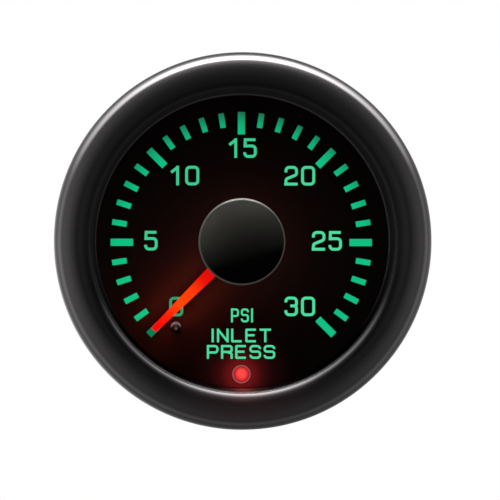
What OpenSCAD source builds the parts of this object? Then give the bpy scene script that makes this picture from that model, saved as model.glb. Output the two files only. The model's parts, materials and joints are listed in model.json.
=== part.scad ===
// Electric boost gauge for a round dash hole, 0 to 30 on a 270 degree sweep.
// Everything is drawn on a bench frame: face up, z towards the driver, z = 0 where the
// bezel seats on the panel. upright() then turns the face towards -Y, with +Z up.

/* [Panel fit] */
// Diameter of the barrel that passes through the panel hole
barrel_d = 52; // [51.6:0.1:52.4]
// Length of the barrel behind the panel face
barrel_len = 40; // [38:0.5:48]
// Thickness of panel that the clamp is set to
panel_grip = 5; // [4.5:0.1:7]

/* [Bezel] */
// Distance that the bezel reaches over the panel, beyond the barrel
bezel_reach = 4; // [3.3:0.1:6]
// Distance that the bezel reaches in over the edge of the dial
sight_lap = 0.75; // [0.4:0.05:1.2]
// Distance that the bezel stands in front of the lens
lip_depth = 3.2; // [3.1:0.1:4]
// Radius of the rounded inner lip
lip_round = 3; // [2:0.1:3]
// Width of the rounded outer shoulder, seen from the front
shoulder_w = 1.35; // [0.8:0.05:1.6]

/* [Lens and gasket] */
// Thickness of the glass
lens_t = 1.8; // [1.2:0.1:2.5]
// Width of the glass that rests on the can's rim
lens_land = 1; // [0.8:0.1:1.2]
// Thickness of the rubber ring under the glass
gasket_t = 1; // [0.6:0.1:1.5]

/* [Can] */
// Wall of the can at the dial
can_wall = 1.8; // [1.6:0.1:2]
// Width of the inner step that carries the display board
ledge_w = 1.2; // [0.8:0.1:1.6]
// Thickness of the rim that the bezel is rolled over
rim_t = 2; // [1.5:0.1:3]
// Length of the neck behind that rim
neck_len = 2.8; // [2:0.1:4]
// Distance that the rim stands out from the barrel
rim_out = 1.4; // [1:0.1:1.6]

/* [Dial] */
// Room between glass and dial for the pointer
pointer_room = 6.8; // [6.4:0.1:8]
// Thickness of the printed dial
dial_t = 0.5; // [0.3:0.05:1]
// Radius of the outer ends of the scale marks
scale_r = 20.85; // [20:0.05:21.2]
// Length of the marks at each five units
major_len = 3.6; // [2.5:0.05:4]
// Width of the marks at each five units
major_w = 1.15; // [0.8:0.05:1.6]
// Length of the marks at each unit
minor_len = 2.35; // [1.5:0.05:3]
// Width of the marks at each unit
minor_w = 0.9; // [0.5:0.05:1.2]
// Thickness of the clear light guide behind the dial
guide_t = 3; // [2:0.1:3.5]
// Height of the white light chamber
chamber_h = 5; // [4.6:0.1:6]

/* [Pointer] */
// Gap between the needle's tip and the outer ends of the scale marks, along the needle
needle_short = 1; // [0.2:0.05:2]
// Width of the needle at the cap
needle_root_w = 1.85; // [1.4:0.05:2.2]
// Width of the needle at its tip
needle_tip_w = 1.05; // [0.6:0.05:1.2]
// Thickness of the needle
needle_t = 1; // [0.6:0.1:1.2]
// Diameter of the hub cap
cap_d = 14; // [12:0.1:15]
// Height of the hub cap
cap_h = 2.7; // [2:0.1:3]
// Diameter of the stop pin below zero
stop_d = 1.7; // [1.2:0.1:1.8]

/* [Warning lamp] */
// Diameter of the lamp's dome
lamp_d = 3; // [2:0.1:3]
// Distance of the lamp below the pointer's axis
lamp_drop = 21; // [20.6:0.1:21.2]

/* [Motor] */
// Height of the motor's body
motor_h = 8.6; // [8.4:0.1:10]
// Wall of the motor's body
motor_wall = 0.8; // [0.7:0.05:1]
// Diameter of the pointer shaft
shaft_d = 1.2; // [1:0.05:1.2]
// Tooth size of the rotor's stage, as a metric module
rotor_module = 0.1; // [0.098:0.001:0.101]
// Tooth size of the output stage, as a metric module
output_module = 0.12; // [0.118:0.001:0.121]

/* [Boards] */
// Thickness of both circuit boards
board_t = 1.6; // [1:0.1:2]
// Room between the control board and the rear cover
rear_room = 7.9; // [7.6:0.1:9]

/* [Rear] */
// Thickness of the rear cover
cover_t = 2.5; // [2:0.1:4]
// Thickness of the seal under the rear cover
seal_t = 0.8; // [0.5:0.1:1.2]
// Distance between the two mounting studs
stud_spacing = 30; // [27:0.5:32]
// Diameter of the mounting studs
stud_d = 4; // [3:0.1:4.2]
// Length of the studs behind the rear cover
stud_len = 22; // [20:0.5:30]
// Depth of the connector's shroud behind the rear cover
shroud_len = 11; // [10.5:0.5:14]

/* [Clamp] */
// Width of the clamp's steel strap
strap_w = 12; // [8:0.5:12.4]
// Thickness of that strap
strap_t = 1.5; // [1:0.1:2]
// Distance from the rear cover to the strap's cross bar
bar_standoff = 7; // [6.6:0.1:8]
// Diameter of the knurled nuts
nut_d = 9.5; // [8:0.1:12]
// Height of the knurled nuts
nut_h = 6; // [4:0.1:8]

/* [Hidden] */

// smoothness of large, middle and small round shapes
large_fn = 120;
mid_fn = 48;
small_fn = 24;
// overrun of every cut, gap of fixed round fits, gap of running fits, gap of pressed fits
overrun = 1;
slip_gap = 0.1;
run_gap = 0.04;
press_gap = 0.02;

// radii of the can, the lens and the bezel
barrel_r = barrel_d / 2;
bezel_r = barrel_r + bezel_reach;
can_bore_r = barrel_r - can_wall;
sight_r = can_bore_r - sight_lap;
rear_bore_r = can_bore_r - ledge_w;
neck_groove = 0.5;
neck_r = barrel_r - neck_groove;
rim_r = barrel_r + rim_out;
lens_r = can_bore_r + lens_land;

// levels from the glass down to the display board
rim_back = neck_len;
rim_front = rim_back + rim_t;
lens_back = rim_front + gasket_t;
lens_front = lens_back + lens_t;
bezel_front = lens_front + lip_depth;
dial_front = lens_back - pointer_room;
guide_front = dial_front - dial_t;
chamber_front = guide_front - guide_t;
board_front = chamber_front - chamber_h;
board_back = board_front - board_t;

// levels from the rear cover up to the control board
cover_back = -barrel_len;
cover_front = cover_back + cover_t;
seal_front = cover_front + seal_t;
control_back = cover_front + rear_room;
control_front = control_back + board_t;

// what the light stack and the boards share
stack_gap = 0.2;
stack_r = can_bore_r - stack_gap;
shadow_wall = 0.55;
light_hole_r = 4;
chamber_wall = 1.2;
chamber_core_wall = 0.8;

// the scale runs from start_angle, clockwise as the driver sees it
start_angle = 225;
sweep = 270;
full_scale = 30;
units_per_major = 5;
mark_t = 0.05;

// the needle stops short of the scale, and the stop pin stands this many degrees below zero
needle_len = scale_r - needle_short;
stop_angle = 7.2;
stop_from_tip = 2.75;
stop_r = needle_len - stop_from_tip;
stop_h = 2.8;
stop_stem_d = 1.2;

// the pointer's levels: hub flange, needle, cap
hub_gap = 0.6;
hub_flange_t = 0.8;
hub_flange_r = 3.6;
hub_r = 2.2;
hub_h = 3.6;
needle_eye_r = 5;
cap_wall = 0.7;
cap_lift = 0.1;
cap_rim = 0.3;
cap_dish = 0.25;
cap_socket_wall = 0.8;
hub_back = dial_front + hub_gap;
needle_back = hub_back + hub_flange_t;
cap_back = needle_back + needle_t + cap_lift;
shaft_grip = 0.4;
shaft_front = hub_back + hub_h - shaft_grip;

// the motor's outline is two circles with straight flanks
motor_small_r = 9;
motor_large_r = 13.2;
motor_offset = 9.4;
motor_front = board_back;
motor_back = motor_front - motor_h;
motor_inner_front = motor_front - motor_wall;
motor_inner_back = motor_back + motor_wall;
motor_boss_r = 2.4;
motor_boss_h = 3.6;
pivot_r = 0.25;
pivot_depth = 0.45;
pivot_relief = 0.05;
end_play = 0.2;

// the gear train, with teeth counts that give 180 to 1
pinion_teeth = 8;
idler_teeth = 96;
output_teeth = 120;
pressure_angle = 20;
pinion_shift = 0.5;
pinion_addendum = 1.2;
pinion_dedendum = 0.75;
wheel_addendum = 0.45;
wheel_dedendum = 1.75;
tooth_slack = 0.1;
output_centres = output_module * (output_teeth + pinion_teeth) / 2;
rotor_centres = rotor_module * (idler_teeth + pinion_teeth) / 2;
rotor_y = output_centres + rotor_centres;
layer_gap = 0.1;
output_gear_t = 0.8;
idler_wheel_t = 0.6;
output_hub_r = 1.1;
idler_hub_r = 0.45;
output_layer = motor_inner_front - end_play - layer_gap;
idler_layer = output_layer - output_gear_t - end_play - layer_gap;
rotor_layer = idler_layer + layer_gap;
rotor_pinion_t = idler_wheel_t + 2 * layer_gap;

// the magnet, and the stator plate and coils round it
magnet_r = 3;
magnet_h = 3;
magnet_hub_r = 0.8;
air_gap = 0.3;
pole_w = 1.3;
pole_slit = 0.8;
stator_t = 1.2;
stator_lift = 2.4;
stator_mid = motor_inner_back + stator_lift;
leg_x = 7.7;
leg_w = 2;
arm_w = 1.8;
arm_back = 1.4;
yoke_w = 1.8;
coil_wall = 0.45;
coil_low = 6.9;
coil_high = 14.9;
coil_low_flange = 1.2;
coil_high_flange = 0.5;
coil_half_w = 2.75;
coil_half_h = 2.25;
winding_inset = 0.3;
motor_pin_r = 0.3;
motor_pin_spread = 1.9;
motor_pin_proud = 0.9;
motor_pin_root = 1;

// lamps on the display board
lamp_flange_t = 1;
lamp_flange_w = 0.4;
lamp_proud = 1.6;
lamp_foot = 1.5;
lamp_lead_spread = 1.27;
lamp_lead_w = 0.5;
lamp_lead_proud = 0.8;
lamp_tube_wall = 0.8;
lamp_tube_gap = 0.15;
dial_lamp_count = 8;
dial_lamp_in = 9.5;
dial_lamp_r = stack_r - dial_lamp_in;
dial_lamp_first = 22.5;
dial_lamp_size = [3.2, 1.6, 1.3];
pointer_lamp_count = 2;
pointer_lamp_r = 3.35;
pointer_lamp_size = [0.9, 1.8, 0.8];

// spacers, screws and header between the two boards
spacer_r = 2.2;
spacer_in = 4;
spacer_ring = rear_bore_r - spacer_in;
spacer_angles = [25, 155, 205, 335];
spacer_peg_r = 1;
spacer_peg_h = 1.2;
spacer_thread_r = 0.85;
screw_r = 0.8;
screw_len = 5;
screw_head_r = 1.8;
screw_head_h = 1.2;
slot_w = 0.5;
slot_depth = 0.5;
header_in = 3.7;
header_x = header_in - rear_bore_r;
header_pins = 4;
header_spacing = 2.54;
header_pin_w = 0.64;
header_block_h = 2.5;
header_proud = 0.8;
control_gap = 0.4;
control_r = rear_bore_r - control_gap;

// parts on the control board
chip_w = 10;
chip_h = 1.4;
chip_at = [-6, 5];
chip_leads = 8;
chip_lead_pitch = 1;
chip_lead_w = 0.4;
chip_lead_t = 0.25;
chip_lead_len = 1;
regulator_size = [6.5, 6.1, 2.3];
regulator_at = [8, 9];
regulator_tab = [5.4, 1.2, 0.8];
regulator_lead = [0.8, 2.4, 0.6];
regulator_lead_pitch = 2.3;
capacitor_r = 3.1;
capacitor_h = 5.4;
capacitor_at = [9, -1.5];
capacitor_base = 6.6;
capacitor_base_h = 0.6;

// rear cover, its screws and its bosses
cover_wall = 1.1;
cover_pocket_r = barrel_r - cover_wall;
cover_r = cover_pocket_r - slip_gap;
seal_w = 1.1;
boss_r = 2.4;
boss_in = 2;
boss_ring = rear_bore_r - boss_in;
boss_len = 6;
boss_angles = [90, 210, 330];
cover_screw_r = 1;
cover_screw_len = 7;
cover_head_r = 2.2;
cover_head_h = 1.5;
barrel_chamfer = 0.4;

// connector
pin_cols = 3;
pin_rows = 2;
pin_pitch = 4.2;
pin_w = 1;
pin_proud = 5.5;
pin_tail = 1;
shroud_wall = 1.2;
shroud_margin = 2.7;
shroud_floor = 1;
shroud_flange_w = 1.5;
shroud_flange_t = 1.2;
shroud_to_strap = 1.2;
latch_w = 5;
latch_out = 1;
latch_len = 2.5;
key_w = 1.4;
key_h = 0.8;
cavity_w = (pin_cols - 1) * pin_pitch + 2 * shroud_margin;
cavity_h = (pin_rows - 1) * pin_pitch + 2 * shroud_margin;
shroud_w = cavity_w + 2 * shroud_wall;
shroud_h = cavity_h + 2 * shroud_wall;
shroud_y = -(strap_w / 2 + shroud_to_strap + shroud_h / 2);
shroud_back = cover_back - shroud_len;
cavity_front = cover_back - shroud_floor;

// studs, clamp and nuts
stud_head_r = 3.4;
stud_head_t = 1.2;
stud_gap = 0.1;
stud_chamfer = 0.5;
stud_nut_h = 3.2;
stud_nut_across = 7;
clamp_side_gap = 1.5;
clamp_bend = 3;
clamp_hole_gap = 0.3;
clamp_inner_x = barrel_r + clamp_side_gap;
clamp_outer_x = clamp_inner_x + strap_t;
foot_back = -panel_grip;
bar_front = cover_back - bar_standoff;
bar_back = bar_front - strap_t;
washer_t = 1;
washer_r = 4.4;
nut_back = bar_back - washer_t - nut_h;
nut_thread_gap = 0.06;
nut_collar_h = 1.5;
nut_collar_r = 3.6;
knurl_count = 30;
knurl_depth = 0.35;

// Turns the bench frame upright, with the face towards -Y.
module upright() {
    rotate([90, 0, 0]) children();
}

// A round bar between two levels.
module bar(r, low, high, fn = mid_fn) {
    translate([0, 0, low]) cylinder(r = r, h = high - low, $fn = fn);
}

// A ring between two levels.
module ring(inner, outer, low, high, fn = large_fn) {
    difference() {
        bar(outer, low, high, fn);
        bar(inner, low - overrun, high + overrun, fn);
    }
}

// A block with its middle at x, y, between two levels.
module block(size_x, size_y, low, high, at = [0, 0]) {
    translate([at[0] - size_x / 2, at[1] - size_y / 2, low]) cube([size_x, size_y, high - low]);
}

// A half ball that stands on a level.
module dome(r, low) {
    intersection() {
        translate([0, 0, low]) sphere(r = r, $fn = mid_fn);
        bar(2 * r, low, low + 2 * r);
    }
}

// Copies at even angles round the axis, starting at first.
module around(count, first = 0) {
    for (i = [0 : count - 1]) rotate([0, 0, first + i * 360 / count]) children();
}

// Points on an arc about a centre.
function arc(centre, r, from, to, steps) = [
    for (i = [0 : steps])
        let (a = from + (to - from) * i / steps) [centre[0] + r * cos(a), centre[1] + r * sin(a)]
];

// The involute function, in radians, of an angle in degrees.
function involute(a) = tan(a) - a * PI / 180;

// Half the angle that a tooth covers at radius r, in degrees.
function half_tooth(r, pitch_r, thickness) =
    let (base_r = pitch_r * cos(pressure_angle), a = acos(min(1, base_r / r)))
    (thickness / (2 * pitch_r) + involute(pressure_angle) - involute(a)) * 180 / PI;

// The outline of a spur gear with involute flanks. tooth_at is the direction of one tooth's middle.
function gear_points(teeth, mod, shift, addendum, dedendum, tooth_at, steps) =
    let (
        pitch_r = mod * teeth / 2,
        tip_r = pitch_r + mod * addendum,
        root_r = pitch_r - mod * dedendum,
        flank_r = max(root_r, pitch_r * cos(pressure_angle)),
        thickness = mod * (PI / 2 + 2 * shift * tan(pressure_angle) - tooth_slack),
        undercut = root_r < flank_r,
        flank = [for (i = [0 : steps]) flank_r + (tip_r - flank_r) * i / steps]
    )
    [
        for (i = [0 : teeth - 1])
            let (mid = tooth_at + i * 360 / teeth)
            for (p = concat(
                undercut ? [[root_r, mid - half_tooth(flank_r, pitch_r, thickness)]] : [],
                [for (r = flank) [r, mid - half_tooth(r, pitch_r, thickness)]],
                [for (j = [steps : -1 : 0]) [flank[j], mid + half_tooth(flank[j], pitch_r, thickness)]],
                undercut ? [[root_r, mid + half_tooth(flank_r, pitch_r, thickness)]] : []
            ))
                [p[0] * cos(p[1]), p[0] * sin(p[1])]
    ];

module pinion(mod, low, high, tooth_at) {
    translate([0, 0, low]) linear_extrude(high - low)
        polygon(gear_points(pinion_teeth, mod, pinion_shift, pinion_addendum, pinion_dedendum, tooth_at, 4));
}

module wheel(teeth, mod, low, high, tooth_at) {
    translate([0, 0, low]) linear_extrude(high - low)
        polygon(gear_points(teeth, mod, -pinion_shift, wheel_addendum, wheel_dedendum, tooth_at, 2));
}

// The motor's outline, drawn in by inset.
module motor_outline(inset = 0) {
    small = motor_small_r - inset;
    large = motor_large_r - inset;
    tilt = asin((motor_large_r - motor_small_r) / motor_offset);
    out = [cos(tilt), -sin(tilt)];
    circle(r = small, $fn = large_fn);
    translate([0, motor_offset]) circle(r = large, $fn = large_fn);
    polygon([
        small * out,
        [large * out[0], motor_offset + large * out[1]],
        [-large * out[0], motor_offset + large * out[1]],
        [-small * out[0], small * out[1]]
    ]);
}

// Front and case

// Bezel: a turned aluminium ring whose tail is rolled behind the can's rim.
module bezel() {
    face_tilt = 22;
    shoulder_tilt = 32;
    roll_gap = 0.6;
    rear_round = 0.6;
    face_in = sight_r + lip_round;
    face_out = bezel_r - shoulder_w;
    face_round = (face_out - face_in) / sin(face_tilt);
    face_fall = face_round * (1 - cos(face_tilt));
    shoulder_r = shoulder_w / (1 - sin(shoulder_tilt));
    shoulder_low = bezel_front - face_fall - shoulder_r * cos(shoulder_tilt);
    color("#151517") upright() rotate_extrude($fn = large_fn) polygon(concat(
        [[neck_r + slip_gap, roll_gap], [barrel_r + slip_gap, 0]],
        arc([bezel_r - rear_round, rear_round], rear_round, -90, 0, 4),
        arc([bezel_r - shoulder_r, shoulder_low], shoulder_r, 0, 90 - shoulder_tilt, 8),
        arc([face_in, bezel_front - face_round], face_round, 90 - face_tilt, 90, 8),
        arc([face_in, bezel_front - lip_round], lip_round, 90, 180, 8),
        [
            [sight_r, lens_front],
            [lens_r + slip_gap, lens_front],
            [lens_r + slip_gap, rim_front],
            [rim_r + slip_gap, rim_front],
            [rim_r + slip_gap, rim_back],
            [neck_r + slip_gap, rim_back]
        ]
    ));
}

module lens() {
    edge = 0.3;
    color("#cfe3e6", 0.35) upright() rotate_extrude($fn = large_fn) polygon([
        [0, lens_back],
        [lens_r - edge, lens_back],
        [lens_r, lens_back + edge],
        [lens_r, lens_front - edge],
        [lens_r - edge, lens_front],
        [0, lens_front]
    ]);
}

module lens_gasket() {
    color("#0c0c0c") upright() ring(can_bore_r, lens_r, rim_front, lens_back);
}

// Can: rim, neck and barrel outside; dial bore, board step, screw bosses and cover pocket inside.
module can() {
    color("#1b1b1d") upright() difference() {
        union() {
            rotate_extrude($fn = large_fn) polygon([
                [can_bore_r, rim_front],
                [rim_r, rim_front],
                [rim_r, rim_back],
                [neck_r, rim_back],
                [neck_r, 0],
                [barrel_r, 0],
                [barrel_r, cover_back + barrel_chamfer],
                [barrel_r - barrel_chamfer, cover_back],
                [cover_pocket_r, cover_back],
                [cover_pocket_r, seal_front],
                [rear_bore_r, seal_front],
                [rear_bore_r, board_back],
                [can_bore_r, board_back]
            ]);
            for (a = boss_angles) rotate([0, 0, a]) translate([boss_ring, 0])
                bar(boss_r, cover_front, cover_front + boss_len);
        }
        for (a = boss_angles) rotate([0, 0, a]) translate([boss_ring, 0])
            bar(cover_screw_r + run_gap, cover_front - overrun, cover_front + boss_len - overrun, small_fn);
    }
}

// Dial and its light

module shadow_ring() {
    color("#0a0a0a") upright() ring(stack_r - shadow_wall, stack_r, dial_front, lens_back);
}

module stop_pin_place() {
    rotate([0, 0, start_angle + stop_angle]) translate([stop_r, 0]) children();
}

module lamp_place() {
    translate([0, -lamp_drop]) children();
}

// Round holes of the dial and of the light guide: pointer light, warning lamp and stop pin.
module face_holes(low, high) {
    bar(light_hole_r, low, high);
    lamp_place() bar(lamp_d / 2 + slip_gap, low, high);
    stop_pin_place() bar(stop_stem_d / 2 + slip_gap, low, high, small_fn);
}

module dial_plate() {
    color("#050505") upright() difference() {
        bar(stack_r, guide_front, dial_front, large_fn);
        face_holes(guide_front - overrun, dial_front + overrun);
    }
}

module scale_mark(length, width) {
    translate([scale_r - length / 2, 0]) block(length, width, dial_front, dial_front + mark_t);
}

module scale_marks() {
    color("#10c080") upright() for (unit = [0 : full_scale])
        rotate([0, 0, start_angle - unit * sweep / full_scale])
            if (unit % units_per_major == 0) scale_mark(major_len, major_w);
            else scale_mark(minor_len, minor_w);
}

module stop_pin() {
    shoulder = dial_front + stop_h - stop_d / 2;
    color("#1c1816") upright() stop_pin_place() {
        bar(stop_stem_d / 2, chamber_front, dial_front);
        bar(stop_d / 2, dial_front, shoulder);
        dome(stop_d / 2, shoulder);
    }
}

module light_guide() {
    color("#dfeee8", 0.5) upright() difference() {
        bar(stack_r - slip_gap, chamber_front, guide_front, large_fn);
        face_holes(chamber_front - overrun, guide_front + overrun);
    }
}

// White chamber: an outer wall, a core that keeps the pointer's light apart, and the lamp's tube,
// which a web ties to the wall.
module light_housing() {
    core_r = light_hole_r + chamber_core_wall;
    web_len = stack_r - chamber_wall / 2 - lamp_drop;
    tube_inner = lamp_d / 2 + lamp_flange_w + lamp_tube_gap;
    color("#f0efe9") upright() difference() {
        union() {
            ring(stack_r - chamber_wall, stack_r, board_front, chamber_front);
            bar(core_r, board_front, chamber_front);
            intersection() {
                lamp_place() bar(tube_inner + lamp_tube_wall, board_front, chamber_front);
                bar(stack_r, board_front, chamber_front, large_fn);
            }
            block(chamber_core_wall, abs(web_len), board_front, chamber_front, [0, -lamp_drop - web_len / 2]);
            for (a = [0, 180]) rotate([0, 0, a]) translate([(core_r + stack_r - chamber_wall) / 2, 0])
                block(stack_r - chamber_wall - core_r + chamber_core_wall, chamber_core_wall,
                    chamber_front - chamber_wall, chamber_front);
        }
        bar(light_hole_r, board_front - overrun, chamber_front + overrun);
        lamp_place() bar(tube_inner, board_front - overrun, chamber_front + overrun);
    }
}

// Warning lamp: a round red lamp with its flange and two leads through the board.
module warning_lamp() {
    dome_r = lamp_d / 2;
    foot = board_front + lamp_foot;
    top = dial_front + lamp_proud;
    color("#ff2a22") upright() lamp_place() {
        bar(dome_r + lamp_flange_w, foot, foot + lamp_flange_t);
        bar(dome_r, foot + lamp_flange_t, top - dome_r);
        dome(dome_r, top - dome_r);
        for (side = [-1, 1])
            block(lamp_lead_w, lamp_lead_w, board_back - lamp_lead_proud, foot, [side * lamp_lead_spread / 2, 0]);
    }
}

module board_lamps(count, at_r, size, first) {
    around(count, first) block(size[0], size[1], board_front, board_front + size[2], [at_r, 0]);
}

module dial_lamps() {
    color("#39e8a0") upright() board_lamps(dial_lamp_count, dial_lamp_r, dial_lamp_size, dial_lamp_first);
}

module pointer_lamps() {
    color("#ff5040") upright() board_lamps(pointer_lamp_count, pointer_lamp_r, pointer_lamp_size, 0);
}

module spacer_places() {
    for (a = spacer_angles) rotate([0, 0, a]) translate([spacer_ring, 0]) children();
}

module header_places() {
    for (i = [0 : header_pins - 1])
        translate([header_x, (i - (header_pins - 1) / 2) * header_spacing]) children();
}

module motor_pin_places() {
    for (side = [-1, 1], spread = [-1, 1])
        translate([side * leg_x + spread * motor_pin_spread, coil_low + coil_low_flange / 2]) children();
}

module display_board() {
    low = board_back - overrun;
    high = board_front + overrun;
    hole = lamp_lead_w + 2 * slip_gap;
    color("#1f6b45") upright() difference() {
        bar(stack_r - slip_gap, board_back, board_front, large_fn);
        bar(motor_boss_r + slip_gap, low, high);
        spacer_places() bar(spacer_peg_r + slip_gap, low, high, small_fn);
        motor_pin_places() bar(motor_pin_r + slip_gap, low, high, small_fn);
        header_places() block(header_pin_w + 2 * slip_gap, header_pin_w + 2 * slip_gap, low, high);
        lamp_place() for (side = [-1, 1]) block(hole, hole, low, high, [side * lamp_lead_spread / 2, 0]);
    }
}

// Pointer

module pointer_needle() {
    root_x = cap_d / 2;
    tip_side = needle_tip_w / 2;
    tip_cut = 0.15;
    color("#ff2000") upright() translate([0, 0, needle_back]) linear_extrude(needle_t)
        rotate([0, 0, start_angle]) difference() {
            union() {
                circle(r = needle_eye_r, $fn = mid_fn);
                polygon([
                    [0, -needle_root_w / 2],
                    [root_x, -needle_root_w / 2],
                    [needle_len - tip_cut, -tip_side],
                    [needle_len, tip_cut - tip_side],
                    [needle_len, tip_side - tip_cut],
                    [needle_len - tip_cut, tip_side],
                    [root_x, needle_root_w / 2],
                    [0, needle_root_w / 2]
                ]);
            }
            circle(r = hub_r + press_gap, $fn = mid_fn);
        }
}

module pointer_hub() {
    color("#b01810") upright() difference() {
        union() {
            bar(hub_flange_r, hub_back, needle_back);
            bar(hub_r, needle_back, hub_back + hub_h);
        }
        bar(shaft_d / 2 + press_gap, hub_back - overrun, shaft_front + press_gap, small_fn);
    }
}

// Hub cap: a dished black cup, pushed onto the hub by an inner socket.
module pointer_cap() {
    cap_r = cap_d / 2;
    top = cap_back + cap_h;
    socket_r = hub_r + press_gap;
    roof = hub_back + hub_h + press_gap;
    color("#161614") upright() rotate_extrude($fn = large_fn) polygon([
        [0, roof],
        [socket_r, roof],
        [socket_r, cap_back],
        [socket_r + cap_socket_wall, cap_back],
        [socket_r + cap_socket_wall, top - cap_dish - cap_wall],
        [cap_r - cap_wall, top - cap_dish - cap_wall],
        [cap_r - cap_wall, cap_back],
        [cap_r, cap_back],
        [cap_r, top - cap_rim],
        [cap_r - cap_rim, top],
        [cap_r - 2 * cap_rim, top],
        [cap_r - 3 * cap_rim, top - cap_dish],
        [0, top - cap_dish]
    ]);
}

module motor_shaft() {
    color("#c8ccd0") upright() bar(shaft_d / 2, motor_inner_back - pivot_depth, shaft_front, small_fn);
}

// Movement

module output_gear() {
    first = 90 + 180 / output_teeth;
    color("#e8e4d8") upright() difference() {
        union() {
            wheel(output_teeth, output_module, output_layer - output_gear_t, output_layer, first);
            bar(output_hub_r, motor_inner_back + end_play, motor_inner_front - end_play, small_fn);
        }
        bar(shaft_d / 2 + press_gap, motor_back, motor_front, small_fn);
    }
}

module idler_gear() {
    color("#f2efe6") upright() translate([0, output_centres]) {
        pinion(output_module, idler_layer, motor_inner_front - end_play, -90);
        wheel(idler_teeth, rotor_module, idler_layer - idler_wheel_t, idler_layer, 90 + 180 / idler_teeth);
        bar(idler_hub_r, motor_inner_back + end_play, idler_layer - idler_wheel_t, small_fn);
        bar(pivot_r, motor_inner_front - end_play, motor_inner_front + pivot_depth, small_fn);
        bar(pivot_r, motor_inner_back - pivot_depth, motor_inner_back + end_play, small_fn);
    }
}

module rotor_pinion() {
    pinion_back = rotor_layer - rotor_pinion_t;
    color("#f2efe6") upright() translate([0, rotor_y]) {
        bar(pivot_r, rotor_layer, motor_inner_front + pivot_depth, small_fn);
        pinion(rotor_module, pinion_back, rotor_layer, -90);
        bar(magnet_hub_r, motor_inner_back + end_play, pinion_back, small_fn);
        bar(pivot_r, motor_inner_back - pivot_depth, motor_inner_back + end_play, small_fn);
    }
}

module rotor_magnet() {
    color("#3a3a40") upright() translate([0, rotor_y])
        ring(magnet_hub_r + press_gap, magnet_r, stator_mid - magnet_h / 2, stator_mid + magnet_h / 2, mid_fn);
}

// Stator: three poles round the magnet, joined by two legs and a yoke.
module stator() {
    pole_in = magnet_r + air_gap;
    pole_out = pole_in + pole_w;
    arm_low = coil_low - slip_gap - arm_w;
    post_x = pole_out - arm_back;
    yoke_low = coil_high + slip_gap;
    color("#8d9095") upright() translate([0, 0, stator_mid - stator_t / 2]) linear_extrude(stator_t)
        difference() {
            union() {
                translate([0, rotor_y]) circle(r = pole_out, $fn = mid_fn);
                translate([-leg_x - leg_w / 2, yoke_low]) square([2 * leg_x + leg_w, yoke_w]);
                for (side = [0, 1]) mirror([side, 0]) {
                    translate([leg_x - leg_w / 2, arm_low]) square([leg_w, yoke_low + yoke_w - arm_low]);
                    translate([post_x, arm_low]) square([leg_x - post_x, arm_w]);
                    translate([post_x, arm_low]) square([arm_back, rotor_y - pole_in - arm_low + pole_w]);
                }
            }
            translate([0, rotor_y]) {
                circle(r = pole_in, $fn = mid_fn);
                for (a = [38, 142, 270]) rotate([0, 0, a])
                    translate([0, -pole_slit / 2]) square([pole_out + pole_slit / 2, pole_slit]);
            }
        }
}

// A copy on each of the stator's two legs.
module coil_places() {
    for (side = [-1, 1]) translate([side * leg_x, 0]) children();
}

// A block along a leg, from half width and half height, between two heights up the leg.
module leg_block(half_w, half_h, low, high) {
    translate([-half_w, low, stator_mid - half_h]) cube([2 * half_w, high - low, 2 * half_h]);
}

module coil_bobbins() {
    bore_w = leg_w / 2 + slip_gap;
    bore_h = stator_t / 2 + slip_gap;
    color("#e9dfc8") upright() difference() {
        coil_places() difference() {
            union() {
                leg_block(bore_w + coil_wall, bore_h + coil_wall, coil_low, coil_high);
                leg_block(coil_half_w, coil_half_h, coil_low, coil_low + coil_low_flange);
                leg_block(coil_half_w, coil_half_h, coil_high - coil_high_flange, coil_high);
            }
            leg_block(bore_w, bore_h, coil_low - overrun, coil_high + overrun);
        }
        motor_pin_places()
            bar(motor_pin_r + press_gap, stator_mid + coil_half_h - motor_pin_root, motor_front, small_fn);
    }
}

module coil_windings() {
    inner_w = leg_w / 2 + slip_gap + coil_wall + press_gap;
    inner_h = stator_t / 2 + slip_gap + coil_wall + press_gap;
    low = coil_low + coil_low_flange;
    high = coil_high - coil_high_flange;
    color("#b5672c") upright() coil_places() difference() {
        leg_block(coil_half_w - winding_inset, coil_half_h - winding_inset, low, high);
        leg_block(inner_w, inner_h, low - overrun, high + overrun);
    }
}

module motor_housing() {
    color("#26272a") upright() difference() {
        union() {
            translate([0, 0, motor_inner_back]) linear_extrude(motor_front - motor_inner_back) motor_outline();
            bar(motor_boss_r, motor_front, motor_front + motor_boss_h);
        }
        translate([0, 0, motor_inner_back - overrun])
            linear_extrude(motor_inner_front - motor_inner_back + overrun) motor_outline(motor_wall);
        bar(shaft_d / 2 + run_gap, motor_back, motor_front + motor_boss_h + overrun, small_fn);
        for (y = [output_centres, rotor_y]) translate([0, y])
            bar(pivot_r + run_gap, motor_inner_front - overrun, motor_inner_front + pivot_depth + pivot_relief, small_fn);
        motor_pin_places() bar(motor_pin_r + press_gap, motor_inner_front - overrun, motor_front + overrun, small_fn);
    }
}

module motor_base() {
    pivot_end = motor_inner_back - pivot_depth - pivot_relief;
    color("#2e3033") upright() difference() {
        translate([0, 0, motor_back]) linear_extrude(motor_wall) motor_outline();
        bar(shaft_d / 2 + run_gap, pivot_end, motor_inner_back + overrun, small_fn);
        for (y = [output_centres, rotor_y]) translate([0, y])
            bar(pivot_r + run_gap, pivot_end, motor_inner_back + overrun, small_fn);
    }
}

module motor_pins() {
    color("#d8c27a") upright() motor_pin_places()
        bar(motor_pin_r, stator_mid + coil_half_h - motor_pin_root, board_front + motor_pin_proud, small_fn);
}

// Control board and what it carries

module pin_places() {
    for (col = [0 : pin_cols - 1], row = [0 : pin_rows - 1])
        translate([(col - (pin_cols - 1) / 2) * pin_pitch, shroud_y + (row - (pin_rows - 1) / 2) * pin_pitch])
            children();
}

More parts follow.
